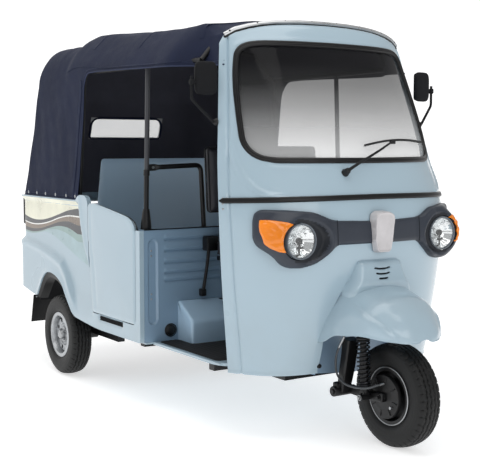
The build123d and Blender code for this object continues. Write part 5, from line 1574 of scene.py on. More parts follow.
def floor_and_box():
    # battery cover: folded sheet with rounded corners, in a lighter copy of the body paint: painted light
    g = Geo()
    prof = rounded(np.array([(0.9995, 0.306), (0.9995, 0.4795), (0.990, 0.4795), (0.880, 0.411), (0.872, 0.398), (0.872, 0.306)]), [0, 0.002, 0.012, 0.014, 0.01, 0], 5)[1:-1]
    prof = even(prof, 0.006, closed=False)
    xs = np.concatenate([[-0.410, -0.4095, -0.408, -0.4055, -0.402], np.linspace(-0.395, 0.395, 44), [0.402, 0.4055, 0.408, 0.4095, 0.410]])
    c = np.array([0.96, 0.38])
    P = np.zeros((len(xs), len(prof), 3))
    for i, x in enumerate(xs):
        e = max(0.0, abs(x) - 0.400)
        k = 0.010 * (1 - math.sqrt(max(0, 1 - (e / 0.010) ** 2)))
        for j, (y, z) in enumerate(prof):
            v = c - np.array([y, z])
            n = np.array([1.0 if y < 0.9 else 0.0, -1.0 if z > 0.40 else 0.0])
            yy = y + k * (1.0 if y < 0.99 else 0.0)
            zz = z - k * (1.0 if z > 0.31 and y < 0.999 else 0.0) * 0.9
            P[i, j] = (x, min(yy, 0.9995), zz)
    g.grid(P, 0)
    for i, fl in ((0, True), (-1, False)):
        g.cap(P[i], 0, flip=fl)
    make("battery_cover_v", g, ["painted_light_paint"], replaces=["battery_cover"], angle=40)
    g = Geo()
    for s in (-1, 1):
        block(g, s * 0.20 - 0.030, s * 0.20 + 0.030, 0.8660, 0.8725, 0.385, 0.402, 0.002, 1, 0)
        screw(g, (s * 0.20, 0.866, 0.3935), (0, -1, 0), 0.005, 0.003, 0)
    make("battery_cover_clips", g, ["zinc"], angle=35)
    # ribbed rubber mats, cab and passenger side
    def mat(name, outline, z0, ribs):
        xs = [p[0] for p in outline]
        ys = [p[1] for p in outline]
        X, Y = np.meshgrid(np.arange(min(xs) - 0.004, max(xs) + 0.005, 0.0060), np.linspace(min(ys) - 0.004, max(ys) + 0.004, int((max(ys) - min(ys)) / 0.02) + 2), indexing="ij")
        o = rounded(np.array(outline), 0.02, 4)
        U, V, keep = carve(X, Y, lambda u, w: -poly_sdf(u, w, o))
        d = -poly_sdf(U, V, o)
        h = 0.0040 * soft(0.0, 0.004, d)
        h += 0.0012 * (np.abs(((U / ribs) % 1.0) - 0.5) * 2 > 0.5) * soft(0.012, 0.018, d)
        g = Geo()
        g.grid(np.stack([U, V, z0 + h], -1), 0, keep=keep)
        make(name, g, ["mat_rubber"], outward=False, angle=35)

    mat("cab_mat", [(-0.512, 0.500), (0.512, 0.500), (0.512, 0.868), (0.420, 0.868), (0.420, 0.992), (0.512, 0.992), (0.512, 0.996), (-0.512, 0.996), (-0.512, 0.992), (-0.420, 0.992), (-0.420, 0.868), (-0.512, 0.868)][:2] +
        [(0.512, 0.996), (0.4125, 0.996), (0.4125, 0.868), (-0.4125, 0.868), (-0.4125, 0.996), (-0.512, 0.996)], 0.3052, 0.024)
    mat("passenger_mat", [(-0.555, 1.026), (0.555, 1.026), (0.555, 1.336), (-0.555, 1.336)], 0.3052, 0.024)
    # pale rolled edge of the cab floor
    g = Geo()
    for s in (-1, 1):
        pts = [(s * 0.500, 0.440, 0.300), (s * 0.520, 0.470, 0.300), (s * 0.531, 0.53, 0.300), (s * 0.532, 0.70, 0.300), (s * 0.532, 0.998, 0.300)]
        path = smooth_path(pts, 40)
        sweep(g, path, [(-0.004, 0.0060), (-0.001, 0.0078), (0.003, 0.0074), (0.005, 0.004), (0.005, -0.003), (0.003, -0.0050), (-0.004, -0.0050)], up=np.array([0, 0, 1.0]), mat=0)
    make("floor_edges", g, ["body_paint"], angle=40)
    # pedal and brake lever
    g = Geo()
    for x0 in (0.150, 0.285):
        pipe(g, bend([(x0, 0.330, 0.62), (x0, 0.360, 0.50), (x0, 0.430, 0.42)], 0.05), 0.008, 10, 0)
        block(g, x0 - 0.032, x0 + 0.032, 0.424, 0.436, 0.385, 0.455, 0.004, 2, 1, M4=turned((x0, 0.43, 0.42), rx=28))
        for k in range(4):
            block(g, x0 - 0.028, x0 + 0.028, 0.436, 0.440, 0.395 + 0.015 * k, 0.402 + 0.015 * k, 0.0015, 1, 1, M4=turned((x0, 0.43, 0.42), rx=28))
    make("pedals", g, ["black_metal", "black_rubber"], angle=40)


floor_and_box()
# ------------------------------------------------------------------ wheels
TYRE_R, BEAD_R = 0.2037, 0.102


def tyre(name, centre, body, node):
    half = [(0.0385, 0.1030), (0.0410, 0.1090), (0.0428, 0.1165), (0.0472, 0.1230), (0.0515, 0.1340), (0.0536, 0.1480), (0.0538, 0.1600), (0.0522, 0.1730), (0.0498, 0.1830),
            (0.0470, 0.1895), (0.0445, 0.1935), (0.0410, 0.1968), (0.0360, 0.1990), (0.0300, 0.2005), (0.0200, 0.2022), (0.0100, 0.2033), (0.0, 0.2037)]
    prof = np.array([(-x, r) for x, r in half] + [(x, r) for x, r in half[-2::-1]])
    c = smooth_path(prof, 256)
    d = np.insert(np.linalg.norm(np.diff(c, axis=0), axis=1).cumsum(), 0, 0)
    t = np.linspace(0, d[-1], 80)
    px, pr = np.interp(t, d, c[:, 0]), np.interp(t, d, c[:, 1])
    tx, tr = np.gradient(px), np.gradient(pr)
    L = np.hypot(tx, tr)
    nx, nr = -tr / L, tx / L
    if nr[56] < 0:
        nx, nr = -nx, -nr
    na = 300
    a = np.linspace(0, 2 * np.pi, na, endpoint=False)
    A, X = np.meshgrid(a, px, indexing="ij")
    R = np.repeat(pr[None, :], na, 0)
    # zigzag grooves between five ribs, short cuts on the shoulders, rings on the side wall
    zig = 0.0022 * (np.abs((A * 30 / np.pi) % 2.0 - 1.0) * 2 - 1)
    cut = np.zeros(A.shape)
    for gx in (-0.027, -0.0095, 0.0095, 0.027):
        cut = np.maximum(cut, 0.0060 * soft(0.0031, 0.0013, np.abs(X - gx - zig * np.sign(gx))) * (R > 0.19))
    sipe = np.abs((A * 40 / np.pi) % 2.0 - 1.0)
    cut = np.maximum(cut, 0.0034 * soft(0.20, 0.08, sipe) * soft(0.034, 0.038, np.abs(X)) * soft(0.183, 0.189, R))
    out = 0.0011 * np.exp(-((R - 0.1740) / 0.0022) ** 2) + 0.0009 * np.exp(-((R - 0.1330) / 0.0018) ** 2) + 0.0007 * np.exp(-((R - 0.1255) / 0.0015) ** 2) - 0.0008 * soft(0.0040, 0.002, np.abs(R - 0.1555)) * 0.6
    out = out * (np.abs(X) > 0.040) - cut
    XX, RR = X + nx[None, :] * out, R + nr[None, :] * out
    P = np.stack([XX, RR * np.cos(A), RR * np.sin(A)], -1) + np.array(centre)
    g = Geo()
    g.grid(P, 0, cu=True)
    lathe(g, [(-0.0385, 0.1030), (0.0385, 0.1030)], centre, "X", 96, 0)
    make(name, g, ["tyre_rubber"], body=body, replaces=[node], angle=40)


def rim(name, centre, body, node, side, paint_m, slot, disc_x, edge_m=None):
    """side is the direction the disc's face looks along X."""
    g = Geo()
    c = np.array(centre, float)
    h = 0.046
    prof = [(-h + 0.004, 0.0955), (-h, 0.0980), (-h, 0.1125), (-h + 0.0012, 0.1148), (-h + 0.0038, 0.1145), (-h + 0.0050, 0.1120), (-h + 0.0055, 0.1045), (-h + 0.0090, 0.1022), (-0.020, 0.1015), (-0.014, 0.0960),
            (0.014, 0.0960), (0.020, 0.1015), (h - 0.0090, 0.1022), (h - 0.0055, 0.1045), (h - 0.0050, 0.1120), (h - 0.0038, 0.1145), (h - 0.0012, 0.1148), (h, 0.1125), (h, 0.0980), (h - 0.004, 0.0955),
            (0.016, 0.0925), (-0.016, 0.0925), (-h + 0.004, 0.0955)]
    lathe(g, prof, c, "X", 96, 0)
    if edge_m:
        for s in (-1, 1):
            lathe(g, [(s * (h + 0.0004), 0.1098), (s * (h + 0.0012), 0.1110), (s * (h + 0.0010), 0.1134), (s * (h - 0.0002), 0.1148)], c, "X", 96, 2)
    # pressed disc with eight round holes and a stepped face
    n = 97
    U, V = np.meshgrid(np.linspace(-0.097, 0.097, n), np.linspace(-0.097, 0.097, n), indexing="ij")
    holes = [(0.0735 * math.cos(k * math.pi / 4 + 0.39), 0.0735 * math.sin(k * math.pi / 4 + 0.39)) for k in range(8)]

    def inside(u, w):
        q = 0.0945 - np.hypot(u, w)
        for hx, hz in holes:
            q = np.minimum(q, np.hypot(u - hx, w - hz) - 0.0095)
        return q

    U, V, keep = carve(U, V, inside)
    r = np.hypot(U, V)
    dish = 0.012 * soft(0.092, 0.084, r) - 0.010 * soft(0.060, 0.050, r) + 0.006 * soft(0.047, 0.041, r)
    for hx, hz in holes:
        dish = dish - 0.0028 * np.exp(-((np.hypot(U - hx, V - hz) - 0.0095) / 0.0035) ** 2)
    Xd = disc_x + side * (dish + 0.004)
    gd = Geo()
    gd.grid(np.stack([Xd, U, V], -1) + c, 0, keep=keep, flip=(side > 0))
    g.merge(gd)
    # back of the disc, flat and black: painted shade seen through the holes; hub with its nuts and grease cap
    lathe(g, [(disc_x - side * 0.0100, 0.0925), (disc_x - side * 0.0100, 0.0)], c, "X", 48, 3)
    x1 = disc_x + side * 0.012
    lathe(g, [(x1 - side * 0.004, 0.0400), (x1 + side * 0.005, 0.0396), (x1 + side * 0.0075, 0.0375), (x1 + side * 0.0080, 0.0240), (x1 + side * 0.0220, 0.0225), (x1 + side * 0.0265, 0.0195), (x1 + side * 0.0280, 0.0)], c, "X", 40, 1)
    for k in range(4):
        a = math.radians(45 + 90 * k)
        screw(g, c + np.array([x1 + side * 0.0078, 0.0305 * math.cos(a), 0.0305 * math.sin(a)]), (side, 0, 0), 0.0062, 0.0085, 1, 6)
        screw(g, c + np.array([x1 + side * 0.0145, 0.0305 * math.cos(a), 0.0305 * math.sin(a)]), (side, 0, 0), 0.0030, 0.0060, 1)
    # valve stem
    vp = c + np.array([disc_x + side * 0.006, 0.0, 0.088])
    pipe(g, [vp, vp + np.array([side * 0.012, 0, -0.002]), vp + np.array([side * 0.026, 0, -0.010])], 0.0032, 8, 3, 6)
    make(name, g, [paint_m, "zinc" if edge_m is None else "black_metal", "zinc", "black_rubber"], body=body, replaces=[node], angle=32)


def wheels():
    tyre("rear_tyre_right_v", (-0.5417, 1.92, TYRE_R), "rear_wheel_right", "rear_tyre_right")
    tyre("rear_tyre_left_v", (0.5417, 1.92, TYRE_R), "rear_wheel_left", "rear_tyre_left")
    tyre("front_tyre_v", (0, 0, TYRE_R), "front_wheel", "front_tyre")
    rim("rear_rim_right_v", (-0.5417, 1.92, TYRE_R), "rear_wheel_right", "rear_rim_right", -1, "wheel_steel", "wheel_steel", -0.006)
    rim("rear_rim_left_v", (0.5417, 1.92, TYRE_R), "rear_wheel_left", "rear_rim_left", 1, "wheel_steel", "wheel_steel", 0.006)
    rim("front_rim_v", (0, 0, TYRE_R), "front_wheel", "front_rim", 1, "black_metal", "black_metal", 0.012, edge_m="zinc")


wheels()

# ------------------------------------------------------------------ steering and front suspension
RK = math.radians(17.2)


def on_steer(z):
    return np.array([0.0, -0.019 + z * math.tan(RK), z])


def tube_run(g, a, b, r, n=20, mat=0, k=2):
    a, b = np.array(a, float), np.array(b, float)
    sweep(g, np.array([a + (b - a) * t for t in np.linspace(0, 1, k)]), circle(r, n), mat=mat)


def cylinder(g, at, axis, prof, n=32, mat=0):
    """Turn (along, radius) points round any axis through at."""
    at, ax = np.array(at, float), np.array(axis, float)
    ax /= np.linalg.norm(ax)
    a = np.cross(ax, [0, 0, 1.0] if abs(ax[2]) < 0.9 else [1.0, 0, 0])
    a /= np.linalg.norm(a)
    b = np.cross(ax, a)
    th = np.linspace(0, 2 * np.pi, n, endpoint=False)
    P = np.array([[at + ax * d + (a * math.cos(t) + b * math.sin(t)) * q for d, q in prof] for t in th])
    g.grid(P, mat, cu=True)


def steering():
    g = Geo()
    # column, crown, head of the damper
    tube_run(g, on_steer(0.452), on_steer(0.985), 0.0195, 24)
    block(g, -0.130, 0.030, 0.092, 0.158, 0.432, 0.470, 0.009, 3)
    block(g, -0.132, -0.092, 0.042, 0.158, 0.452, 0.479, 0.008, 3)
    # leg: a boxed pressing, wider at the top
    path = [(-0.112, 0.1475, 0.412), (-0.112, 0.158, 0.350), (-0.112, 0.172, 0.280), (-0.112, 0.186, 0.222), (-0.112, 0.191, 0.196)]
    path = smooth_path(path, 24)
    rect = rounded(np.array([(-0.021, -0.027), (0.021, -0.027), (0.021, 0.027), (-0.021, 0.027)]), 0.008, 4)
    sweep(g, path, rect, up=np.array([1.0, 0, 0]), scale=np.interp(np.linspace(0, 1, len(path)), [0, 0.5, 1], [1.05, 0.95, 0.80]))
    for dx in (-0.0225, 0.0225):
        p2 = path + np.array([dx, 0, 0])
        sweep(g, p2, circle(0.0022, 8))
    cylinder(g, (-0.160, 0.200, 0.196), (1, 0, 0), [(0.0, 0.012), (0.0, 0.0195), (0.0025, 0.0210), (0.0915, 0.0210), (0.094, 0.0195), (0.094, 0.012)], 28)
    cylinder(g, (-0.1655, 0.200, 0.196), (1, 0, 0), [(0.0, 0.0), (0.0, 0.0105), (0.0055, 0.0115), (0.0060, 0.0165)], 6, 0)
    block(g, -0.150, -0.118, 0.186, 0.215, 0.205, 0.232, 0.006, 2)
    make("steering_fork_v", g, ["black_metal", "zinc"], body="steering", replaces=["steering_fork"], angle=35)
    # link arm: forged, with the drum plate and axle
    g = Geo()
    path = smooth_path([(-0.080, 0.178, 0.201), (-0.080, 0.120, 0.196), (-0.080, 0.060, 0.197), (-0.080, 0.0, 0.2037), (-0.080, -0.018, 0.2037)], 26)
    rect = rounded(np.array([(-0.010, -0.016), (0.010, -0.016), (0.010, 0.016), (-0.010, 0.016)]), 0.004, 3)
    sweep(g, path, rect, up=np.array([0, 0, 1.0]), scale=np.interp(np.linspace(0, 1, len(path)), [0, 0.25, 0.6, 0.85, 1], [1.15, 0.9, 0.95, 1.2, 0.95]))
    cylinder(g, (-0.134, 0.062, 0.196), (1, 0, 0), [(-0.006, 0.0), (-0.006, 0.0085), (0.0, 0.0095), (0.0, 0.0130), (0.060, 0.0130)], 24)
    cylinder(g, (-0.104, 0.0, TYRE_R), (1, 0, 0), [(0.0, 0.0), (0.0, 0.0060), (0.006, 0.0070), (0.009, 0.0070), (0.009, 0.0120), (0.021, 0.0130), (0.021, 0.0190), (0.025, 0.0200)], 6, 0)
    cylinder(g, (-0.135, 0.062, 0.196), (1, 0, 0), [(-0.010, 0.0), (-0.010, 0.0060), (-0.006, 0.0072), (-0.005, 0.0072), (-0.005, 0.0120), (0.0, 0.0125)], 6, 1)
    # brake drum plate with pressed ribs
    prof = [(-0.072, 0.010), (-0.072, 0.030), (-0.0700, 0.036), (-0.0715, 0.048), (-0.0712, 0.060), (-0.0695, 0.066), (-0.0700, 0.078), (-0.0690, 0.0845), (-0.0660, 0.0860), (-0.0525, 0.0860), (-0.0525, 0.070)]
    lathe(g, [(x, r) for x, r in prof], (0, 0, TYRE_R), "X", 72)
    for k in range(8):
        a = k * math.pi / 4 + 0.2
        p = np.array([-0.0715, 0.054 * math.cos(a), TYRE_R + 0.054 * math.sin(a)])
        q = np.array([-0.0715, 0.078 * math.cos(a), TYRE_R + 0.078 * math.sin(a)])
        tube_run(g, p, q, 0.0024, 8)
    cylinder(g, (-0.074, 0.045, 0.242), (1, 0, 0), [(-0.004, 0.0), (-0.004, 0.0062), (0.0, 0.0070), (0.004, 0.0070)], 6, 1)
    cylinder(g, (-0.074, -0.048, 0.170), (1, 0, 0), [(-0.004, 0.0), (-0.004, 0.0062), (0.0, 0.0070), (0.004, 0.0070)], 6, 1)
    tube_run(g, (-0.070, 0, TYRE_R), (0.036, 0, TYRE_R), 0.0138, 24)
    make("front_link_arm_v", g, ["black_metal", "zinc"], body="steering", replaces=["front_link_arm"], angle=35)
    # coil spring over its damper
    g = Geo()
    a, b = np.array([-0.112, 0.0625, 0.214]), np.array([-0.112, 0.0738, 0.440])
    ax = (b - a) / np.linalg.norm(b - a)
    tube_run(g, a, a + ax * 0.150, 0.0165, 24, 1)
    tube_run(g, a + ax * 0.140, b, 0.0130, 20, 1)
    e1 = np.array([1.0, 0, 0])
    e2 = np.cross(ax, e1)
    turns, n = 12.5, 480
    t = np.linspace(0, 1, n)
    lo, hi = 0.028, 0.206
    along = lo + (hi - lo) * np.interp(t, [0, 0.10, 0.90, 1], [0, 0.035, 0.965, 1])
    ang = t * turns * 2 * np.pi
    P = a + along[:, None] * ax + 0.0235 * (np.cos(ang)[:, None] * e1 + np.sin(ang)[:, None] * e2)
    sweep(g, P, circle(0.0037, 8), mat=4)
    for w0, w1 in ((0.018, 0.027), (0.208, 0.217)):
        cylinder(g, a, ax, [(w0, 0.012), (w0, 0.0265), (w0 + 0.002, 0.0280), (w1 - 0.002, 0.0280), (w1, 0.0265), (w1, 0.008)], 28)
    cylinder(g, a, (1, 0, 0), [(-0.014, 0.006), (-0.014, 0.0135), (0.014, 0.0135), (0.014, 0.006)], 24, 3)
    make("front_damper_v", g, ["black_metal", "black_metal", "zinc", "black_rubber", "spring_steel"], body="steering", replaces=["front_damper"], angle=40)
    # brake hose with its ferrules
    g = Geo()
    hose = smooth_path([(-0.142, 0.152, 0.423), (-0.150, 0.190, 0.345), (-0.152, 0.186, 0.275), (-0.154, 0.140, 0.243), (-0.153, 0.075, 0.237), (-0.135, 0.022, 0.241), (-0.104, 0.002, 0.251), (-0.073, -0.006, 0.256)], 84)
    sweep(g, hose, circle(0.0042, 12))
    for s in (slice(0, 8), slice(-8, None)):
        sweep(g, hose[s], circle(0.0056, 14), mat=1)
    make("brake_hose_v", g, ["hose_rubber", "zinc"], body="steering", replaces=["brake_hose"], angle=40)
    # handlebar: steel tube, shroud, grips and levers
    g = Geo()
    b0 = on_steer(0.985)
    bx, by, bz = b0
    for s in (-1, 1):
        run = bend([(0, by + 0.020, bz + 0.018), (s * 0.090, by + 0.020, bz + 0.018), (s * 0.158, by + 0.034, bz + 0.020), (s * 0.226, by + 0.146, bz + 0.006)], [0.03, 0.036], 6)
        sweep(g, run, circle(0.0105, 16))
        p, q = np.array([s * 0.182, by + 0.0735, bz + 0.015]), np.array([s * 0.225, by + 0.1444, bz + 0.0062])
        d = q - p
        k = np.linspace(0, 1, 40)
        rr = 0.0150 + 0.0008 * np.sin(k * np.pi * 22)
        rr[[0, -1]] = 0.0165
        rr[0] = 0.0165
        pts = p + d * k[:, None]
        sweep(g, pts, circle(1.0, 18), mat=1, scale=rr)
        lever = smooth_path([p + np.array([-s * 0.004, -0.020, -0.004]), p + np.array([s * 0.004, -0.006, -0.022]), p + d * 0.5 + np.array([s * 0.018, -0.014, -0.024]), q + np.array([s * 0.012, -0.012, -0.020])], 20)
        sweep(g, lever, circle(0.0042, 10), mat=2)
    sh = rounded(np.array([(-0.045, -0.020), (0.045, -0.020), (0.050, 0.010), (0.045, 0.032), (-0.045, 0.032), (-0.050, 0.010)]), 0.012, 3)
    zs = [bz + 0.002, bz + 0.010, bz + 0.026, bz + 0.032, bz + 0.034]
    ks = [0.96, 1.0, 0.97, 0.88, 0.70]
    ring = np.array([[(x * k, by + 0.006 + (y - 0.006) * k, z) for x, y in sh] for z, k in zip(zs, ks)])
    g.grid(ring, 1, cv=True)
    g.cap(ring[-1], 1)
    g.cap(ring[0], 1, True)
    make("handlebar_v", g, ["black_metal", "black_plastic", "zinc"], body="steering", replaces=["handlebar"], angle=40)


steering()


# ------------------------------------------------------------------ front trims
def front_trims():
    # bright strip with a black gasket along the roof edge
    g = Geo()
    xs = np.concatenate([np.linspace(-0.452, -0.30, 26), np.linspace(-0.30, 0.30, 60)[1:], np.linspace(0.30, 0.452, 26)[1:]])
    path, ups = [], []
    for x in xs:
        z = float(arch_z(x)) - 0.002
        path.append(on_shell(x, z, 0.0015))
        ups.append(shell_n(x, z))
    path, ups = np.array(path), np.array(ups)
    strip = [(-0.0075, -0.002), (-0.0076, 0.0020), (-0.0060, 0.0036), (-0.0025, 0.0044), (0.0025, 0.0044), (0.0060, 0.0036), (0.0076, 0.0020), (0.0075, -0.002)]
    sweep(g, path + np.array([0, 0, 0.003]), strip, up=ups, mat=0)
    gas = [(-0.0050, -0.003), (-0.0052, 0.0018), (-0.003, 0.0030), (0.003, 0.0030), (0.0052, 0.0018), (0.0050, -0.003)]
    sweep(g, path + np.array([0, 0.001, -0.0085]), gas, up=ups, mat=1)
    for x in (-0.430, -0.318, -0.190, -0.058, 0.072, 0.200, 0.330, 0.430):
        z = float(arch_z(x)) + 0.001
        screw(g, on_shell(x, z, 0.0055), shell_n(x, z), 0.0046, 0.0026, 2)
    make("roof_trim_v", g, ["trim_metal", "black_rubber", "inner_dark"], replaces=["roof_trim"], angle=45)
    # wiper
    g = Geo()
    pv = on_shell(-0.122, 1.063, 0.0)
    n0 = shell_n(-0.122, 1.063)
    cylinder(g, pv, n0, [(-0.004, 0.016), (0.003, 0.016), (0.006, 0.0135), (0.018, 0.0125), (0.026, 0.0110), (0.031, 0.0070), (0.032, 0.0)], 24)
    arm = [on_shell(x, z, o) for x, z, o in ((-0.122, 1.063, 0.024), (-0.090, 1.078, 0.027), (-0.030, 1.104, 0.026), (0.060, 1.141, 0.026), (0.125, 1.170, 0.027), (0.150, 1.181, 0.022))]
    arm = smooth_path(arm, 40)
    sweep(g, arm, rounded(np.array([(-0.0055, -0.0022), (0.0055, -0.0022), (0.0055, 0.0022), (-0.0055, 0.0022)]), 0.0015, 2), up=n0, scale=np.interp(np.linspace(0, 1, len(arm)), [0, 0.3, 1], [1.25, 1.0, 0.6]))
    bl = smooth_path([on_shell(x, z, 0.0125) for x, z in ((0.002, 1.166), (0.060, 1.176), (0.120, 1.184), (0.190, 1.188), (0.270, 1.187), (0.374, 1.180))], 60)
    sweep(g, bl, rounded(np.array([(-0.0045, -0.0030), (0.0045, -0.0030), (0.0035, 0.0045), (-0.0035, 0.0045)]), 0.001, 2), up=np.array([shell_n(p[0], p[2]) for p in bl]), mat=0)
    bl2 = bl - np.array([shell_n(p[0], p[2]) for p in bl]) * 0.0060
    sweep(g, bl2, rounded(np.array([(-0.0012, -0.0038), (0.0012, -0.0038), (0.0016, 0.0038), (-0.0016, 0.0038)]), 0.0005, 2), up=np.array([shell_n(p[0], p[2]) for p in bl]), mat=1)
    block(g, 0.140, 0.160, arm[-1][1] - 0.008, arm[-1][1] + 0.010, 1.176, 1.190, 0.003, 2)
    make("wiper_v", g, ["black_plastic", "black_rubber"], replaces=["wiper"], angle=40)
    # mirrors
    g = Geo()
    for s in (-1, 1):
        gg = Geo()
        stalk = bend([(-0.531, 0.474, 1.262), (-0.548, 0.476, 1.264), (-0.628, 0.500, 1.350), (-0.628, 0.500, 1.438)], [0.016, 0.03], 7)
        sweep(gg, stalk, circle(0.0058, 14), mat=0)
        sweep(gg, np.array([(-0.628, 0.500, 1.415), (-0.600, 0.499, 1.415)]), circle(0.0062, 12), mat=0)
        block(gg, -0.636, -0.618, 0.490, 0.510, 1.404, 1.426, 0.004, 2, 0)
        cylinder(gg, (-0.5305, 0.474, 1.262), (-1, 0, 0), [(0.0, 0.0150), (0.004, 0.0150), (0.008, 0.0120), (0.013, 0.0090), (0.015, 0.0060)], 24, 1)
        # head: rounded case, deeper in the middle
        cx, cy, cz = -0.566, 0.497, 1.432
        n1, n2 = 48, 20
        th = np.linspace(0, 2 * np.pi, n1, endpoint=False)
        ph = np.linspace(-np.pi / 2, np.pi / 2, n2)
        T, F = np.meshgrid(th, ph, indexing="ij")
        pw = lambda v, e: np.sign(v) * np.abs(v) ** e
        X = 0.0465 * pw(np.cos(T), 0.42) * pw(np.cos(F), 0.42)
        Z = 0.0655 * pw(np.sin(T), 0.42) * pw(np.cos(F), 0.42)
        Y = 0.0155 * pw(np.sin(F), 0.75)
        Y = np.where(Y > 0, np.minimum(Y, 0.0118), Y)
        c, sn = math.cos(math.radians(-10)), math.sin(math.radians(-10))
        gg.grid(np.stack([cx + X * c - Y * sn, cy + X * sn + Y * c, cz + Z], -1), 0, cu=True)
        R = rounded(np.array([(-0.0415, -0.060), (0.0415, -0.060), (0.0415, 0.060), (-0.0415, 0.060)]), 0.016, 5)
        ring = np.array([(cx + x * c - 0.0124 * sn, cy + x * sn + 0.0124 * c, cz + z) for x, z in R])
        gg.cap(ring, 2)
        V = np.concatenate(gg.v)
        if s > 0:
            V = V * np.array([-1, 1, 1])
        base = g.add(V, [])
        g.f += [tuple(i + base for i in (q if s < 0 else q[::-1])) for q in gg.f]
        g.m += gg.m
    make("door_mirrors_v", g, ["inner_dark", "black_rubber", "mirror_glass"], replaces=["door_mirrors"], angle=50)
    # screws on the shell's door edge, pegs beside the nose
    g = Geo()
    for s in (-1, 1):
        for z0 in (0.945,):
            zs = np.linspace(z0 - 0.026, z0 + 0.030, 2)
            for zz in (z0 - 0.018, z0 + 0.002, z0 + 0.022):
                w = float(shell_w(zz))
                p = on_shell(s * (w - 0.011), zz, 0.001)
                screw(g, p, shell_n(s * (w - 0.011), zz), 0.0040, 0.0022, 0)
        cylinder(g, (s * 0.212, 0.236, 0.301), (0, -1, 0), [(0.0, 0.010), (0.014, 0.010), (0.020, 0.0085), (0.022, 0.0)], 20, 1)
        cylinder(g, (s * 0.512, 0.440, 0.537), (-s * 1.0, -0.5, 0), [(-0.002, 0.0095), (0.0030, 0.0095), (0.0045, 0.0075), (0.0045, 0.0)], 18, 2)
    make("shell_fixings", g, ["zinc", "black_rubber", "black_rubber"], angle=40)


front_trims()


# ------------------------------------------------------------------ posts, rails, underside
def tubework():
    g = Geo()
    for s in (-1, 1):
        a, b = np.array([s * 0.541, 1.050, 0.801]), np.array([s * 0.522, 1.058, 1.514])
        m = a + (b - a) * ((1.045 - 0.801) / (1.514 - 0.801))
        tube_run(g, m, b, 0.0108, 20, 0)
        tube_run(g, a, m, 0.0112, 20, 1)
        d = (b - a) / np.linalg.norm(b - a)
        cylinder(g, a, d, [(0.0, 0.0235), (0.004, 0.0245), (0.030, 0.0222), (0.078, 0.0165), (0.084, 0.0150), (0.090, 0.0140), (0.092, 0.0112)], 28, 1)
        cylinder(g, m - d * 0.006, d, [(-0.002, 0.0112), (0.0, 0.0136), (0.024, 0.0136), (0.026, 0.0108)], 24, 1)
        block(g, s * 0.541 - 0.030, s * 0.541 + 0.030, 1.024, 1.070, 0.8004, 0.8040, 0.001, 1, 1)
    make("roof_posts_v", g, ["grey_metal", "black_metal"], replaces=["roof_posts"], angle=40)
    g = Geo()
    for s in (-1, 1):
        run = bend([(s * 0.528, 1.0525, 1.073), (s * 0.268, 1.036, 1.083), (s * 0.252, 1.036, 0.802)], [0.030], 12)
        seg = even(run, 0.006, closed=False)
        L = np.linalg.norm(np.diff(seg, axis=0), axis=1).cumsum()
        L = np.insert(L, 0, 0)
        flat = soft(0.055, 0.030, L)
        t, sd, u = frames(seg, up=np.array([0, 1.0, 0.001]))
        a = np.linspace(0, 2 * np.pi, 20, endpoint=False)
        R1 = 0.0108 + 0.004 * flat
        R2 = 0.0108 - 0.0080 * flat
        P = seg[:, None, :] + sd[:, None, :] * (R1[:, None] * np.cos(a)[None, :])[..., None] + u[:, None, :] * (R2[:, None] * np.sin(a)[None, :])[..., None]
        g.grid(P, 0, cv=True)
        g.cap(P[0], 0)
        screw(g, (s * 0.505, 1.0480, 1.0742), (0, -1, 0), 0.0062, 0.005, 1, 6)
        cylinder(g, (s * 0.252, 1.036, 0.8005), (0, 0, 1), [(0.0, 0.024), (0.003, 0.024), (0.004, 0.0115)], 24, 0)
    make("guard_rails_v", g, ["black_metal", "zinc"], replaces=["guard_rails"], angle=40)
    # seat stay bolted to the bulkhead beside the driver's seat
    g = Geo()
    block(g, -0.292, -0.232, 0.935, 0.988, 0.700, 0.766, 0.008, 2)
    pipe(g, [(-0.266, 0.972, 0.702), (-0.272, 0.973, 0.640), (-0.286, 0.976, 0.550), (-0.291, 0.978, 0.514)], 0.0075, 12, 0, 20)
    block(g, -0.304, -0.278, 0.968, 0.9985, 0.494, 0.528, 0.006, 2)
    screw(g, (-0.291, 0.968, 0.510), (0, -1, 0), 0.006, 0.004, 0, 6)
    make("seat_stay", g, ["black_metal"], angle=40)
    # wheel arch liners close to the panel edge
    g = Geo()
    for s in (-1, 1):
        c = np.array([0, 1.940, 0.215])
        a0, a1 = math.degrees(math.asin(0.131 / 0.298)), 180 - math.degrees(math.asin(0.131 / 0.298))
        lathe(g, [(s * 0.370, 0.2990), (s * 0.573, 0.2990), (s * 0.573, 0.2960), (s * 0.372, 0.2960), (s * 0.372, 0.15), (s * 0.370, 0.15)], c, "X", 60, 0, arc=(a0, a1))
    make("wheel_arch_liners_v", g, ["inner_dark"], replaces=["wheel_arch_liners"], angle=30, outward=False)
    g = Geo()
    for s in (-1, 1):
        X, Z = np.meshgrid(np.linspace(0.462, 0.598, 25), np.linspace(0.222, 0.372, 33), indexing="ij")
        Y = 2.278 - 0.040 * (Z - 0.222) / 0.150 + 0.0012 * np.abs(((Z / 0.012) % 1.0) - 0.5) * soft(0.0, 0.01, np.minimum(X - 0.47, 0.59 - X))
        g.grid(np.stack([s * X, Y, Z], -1), 0, flip=(s > 0))
        for x in (0.480, 0.530, 0.580):
            screw(g, (s * x, 2.2385, 0.362), (0, -1, 0), 0.005, 0.003, 1)
    make("mud_flaps_v", g, ["black_rubber", "zinc"], replaces=["mud_flaps"], angle=40, thick=0.004, outward=False)


tubework()


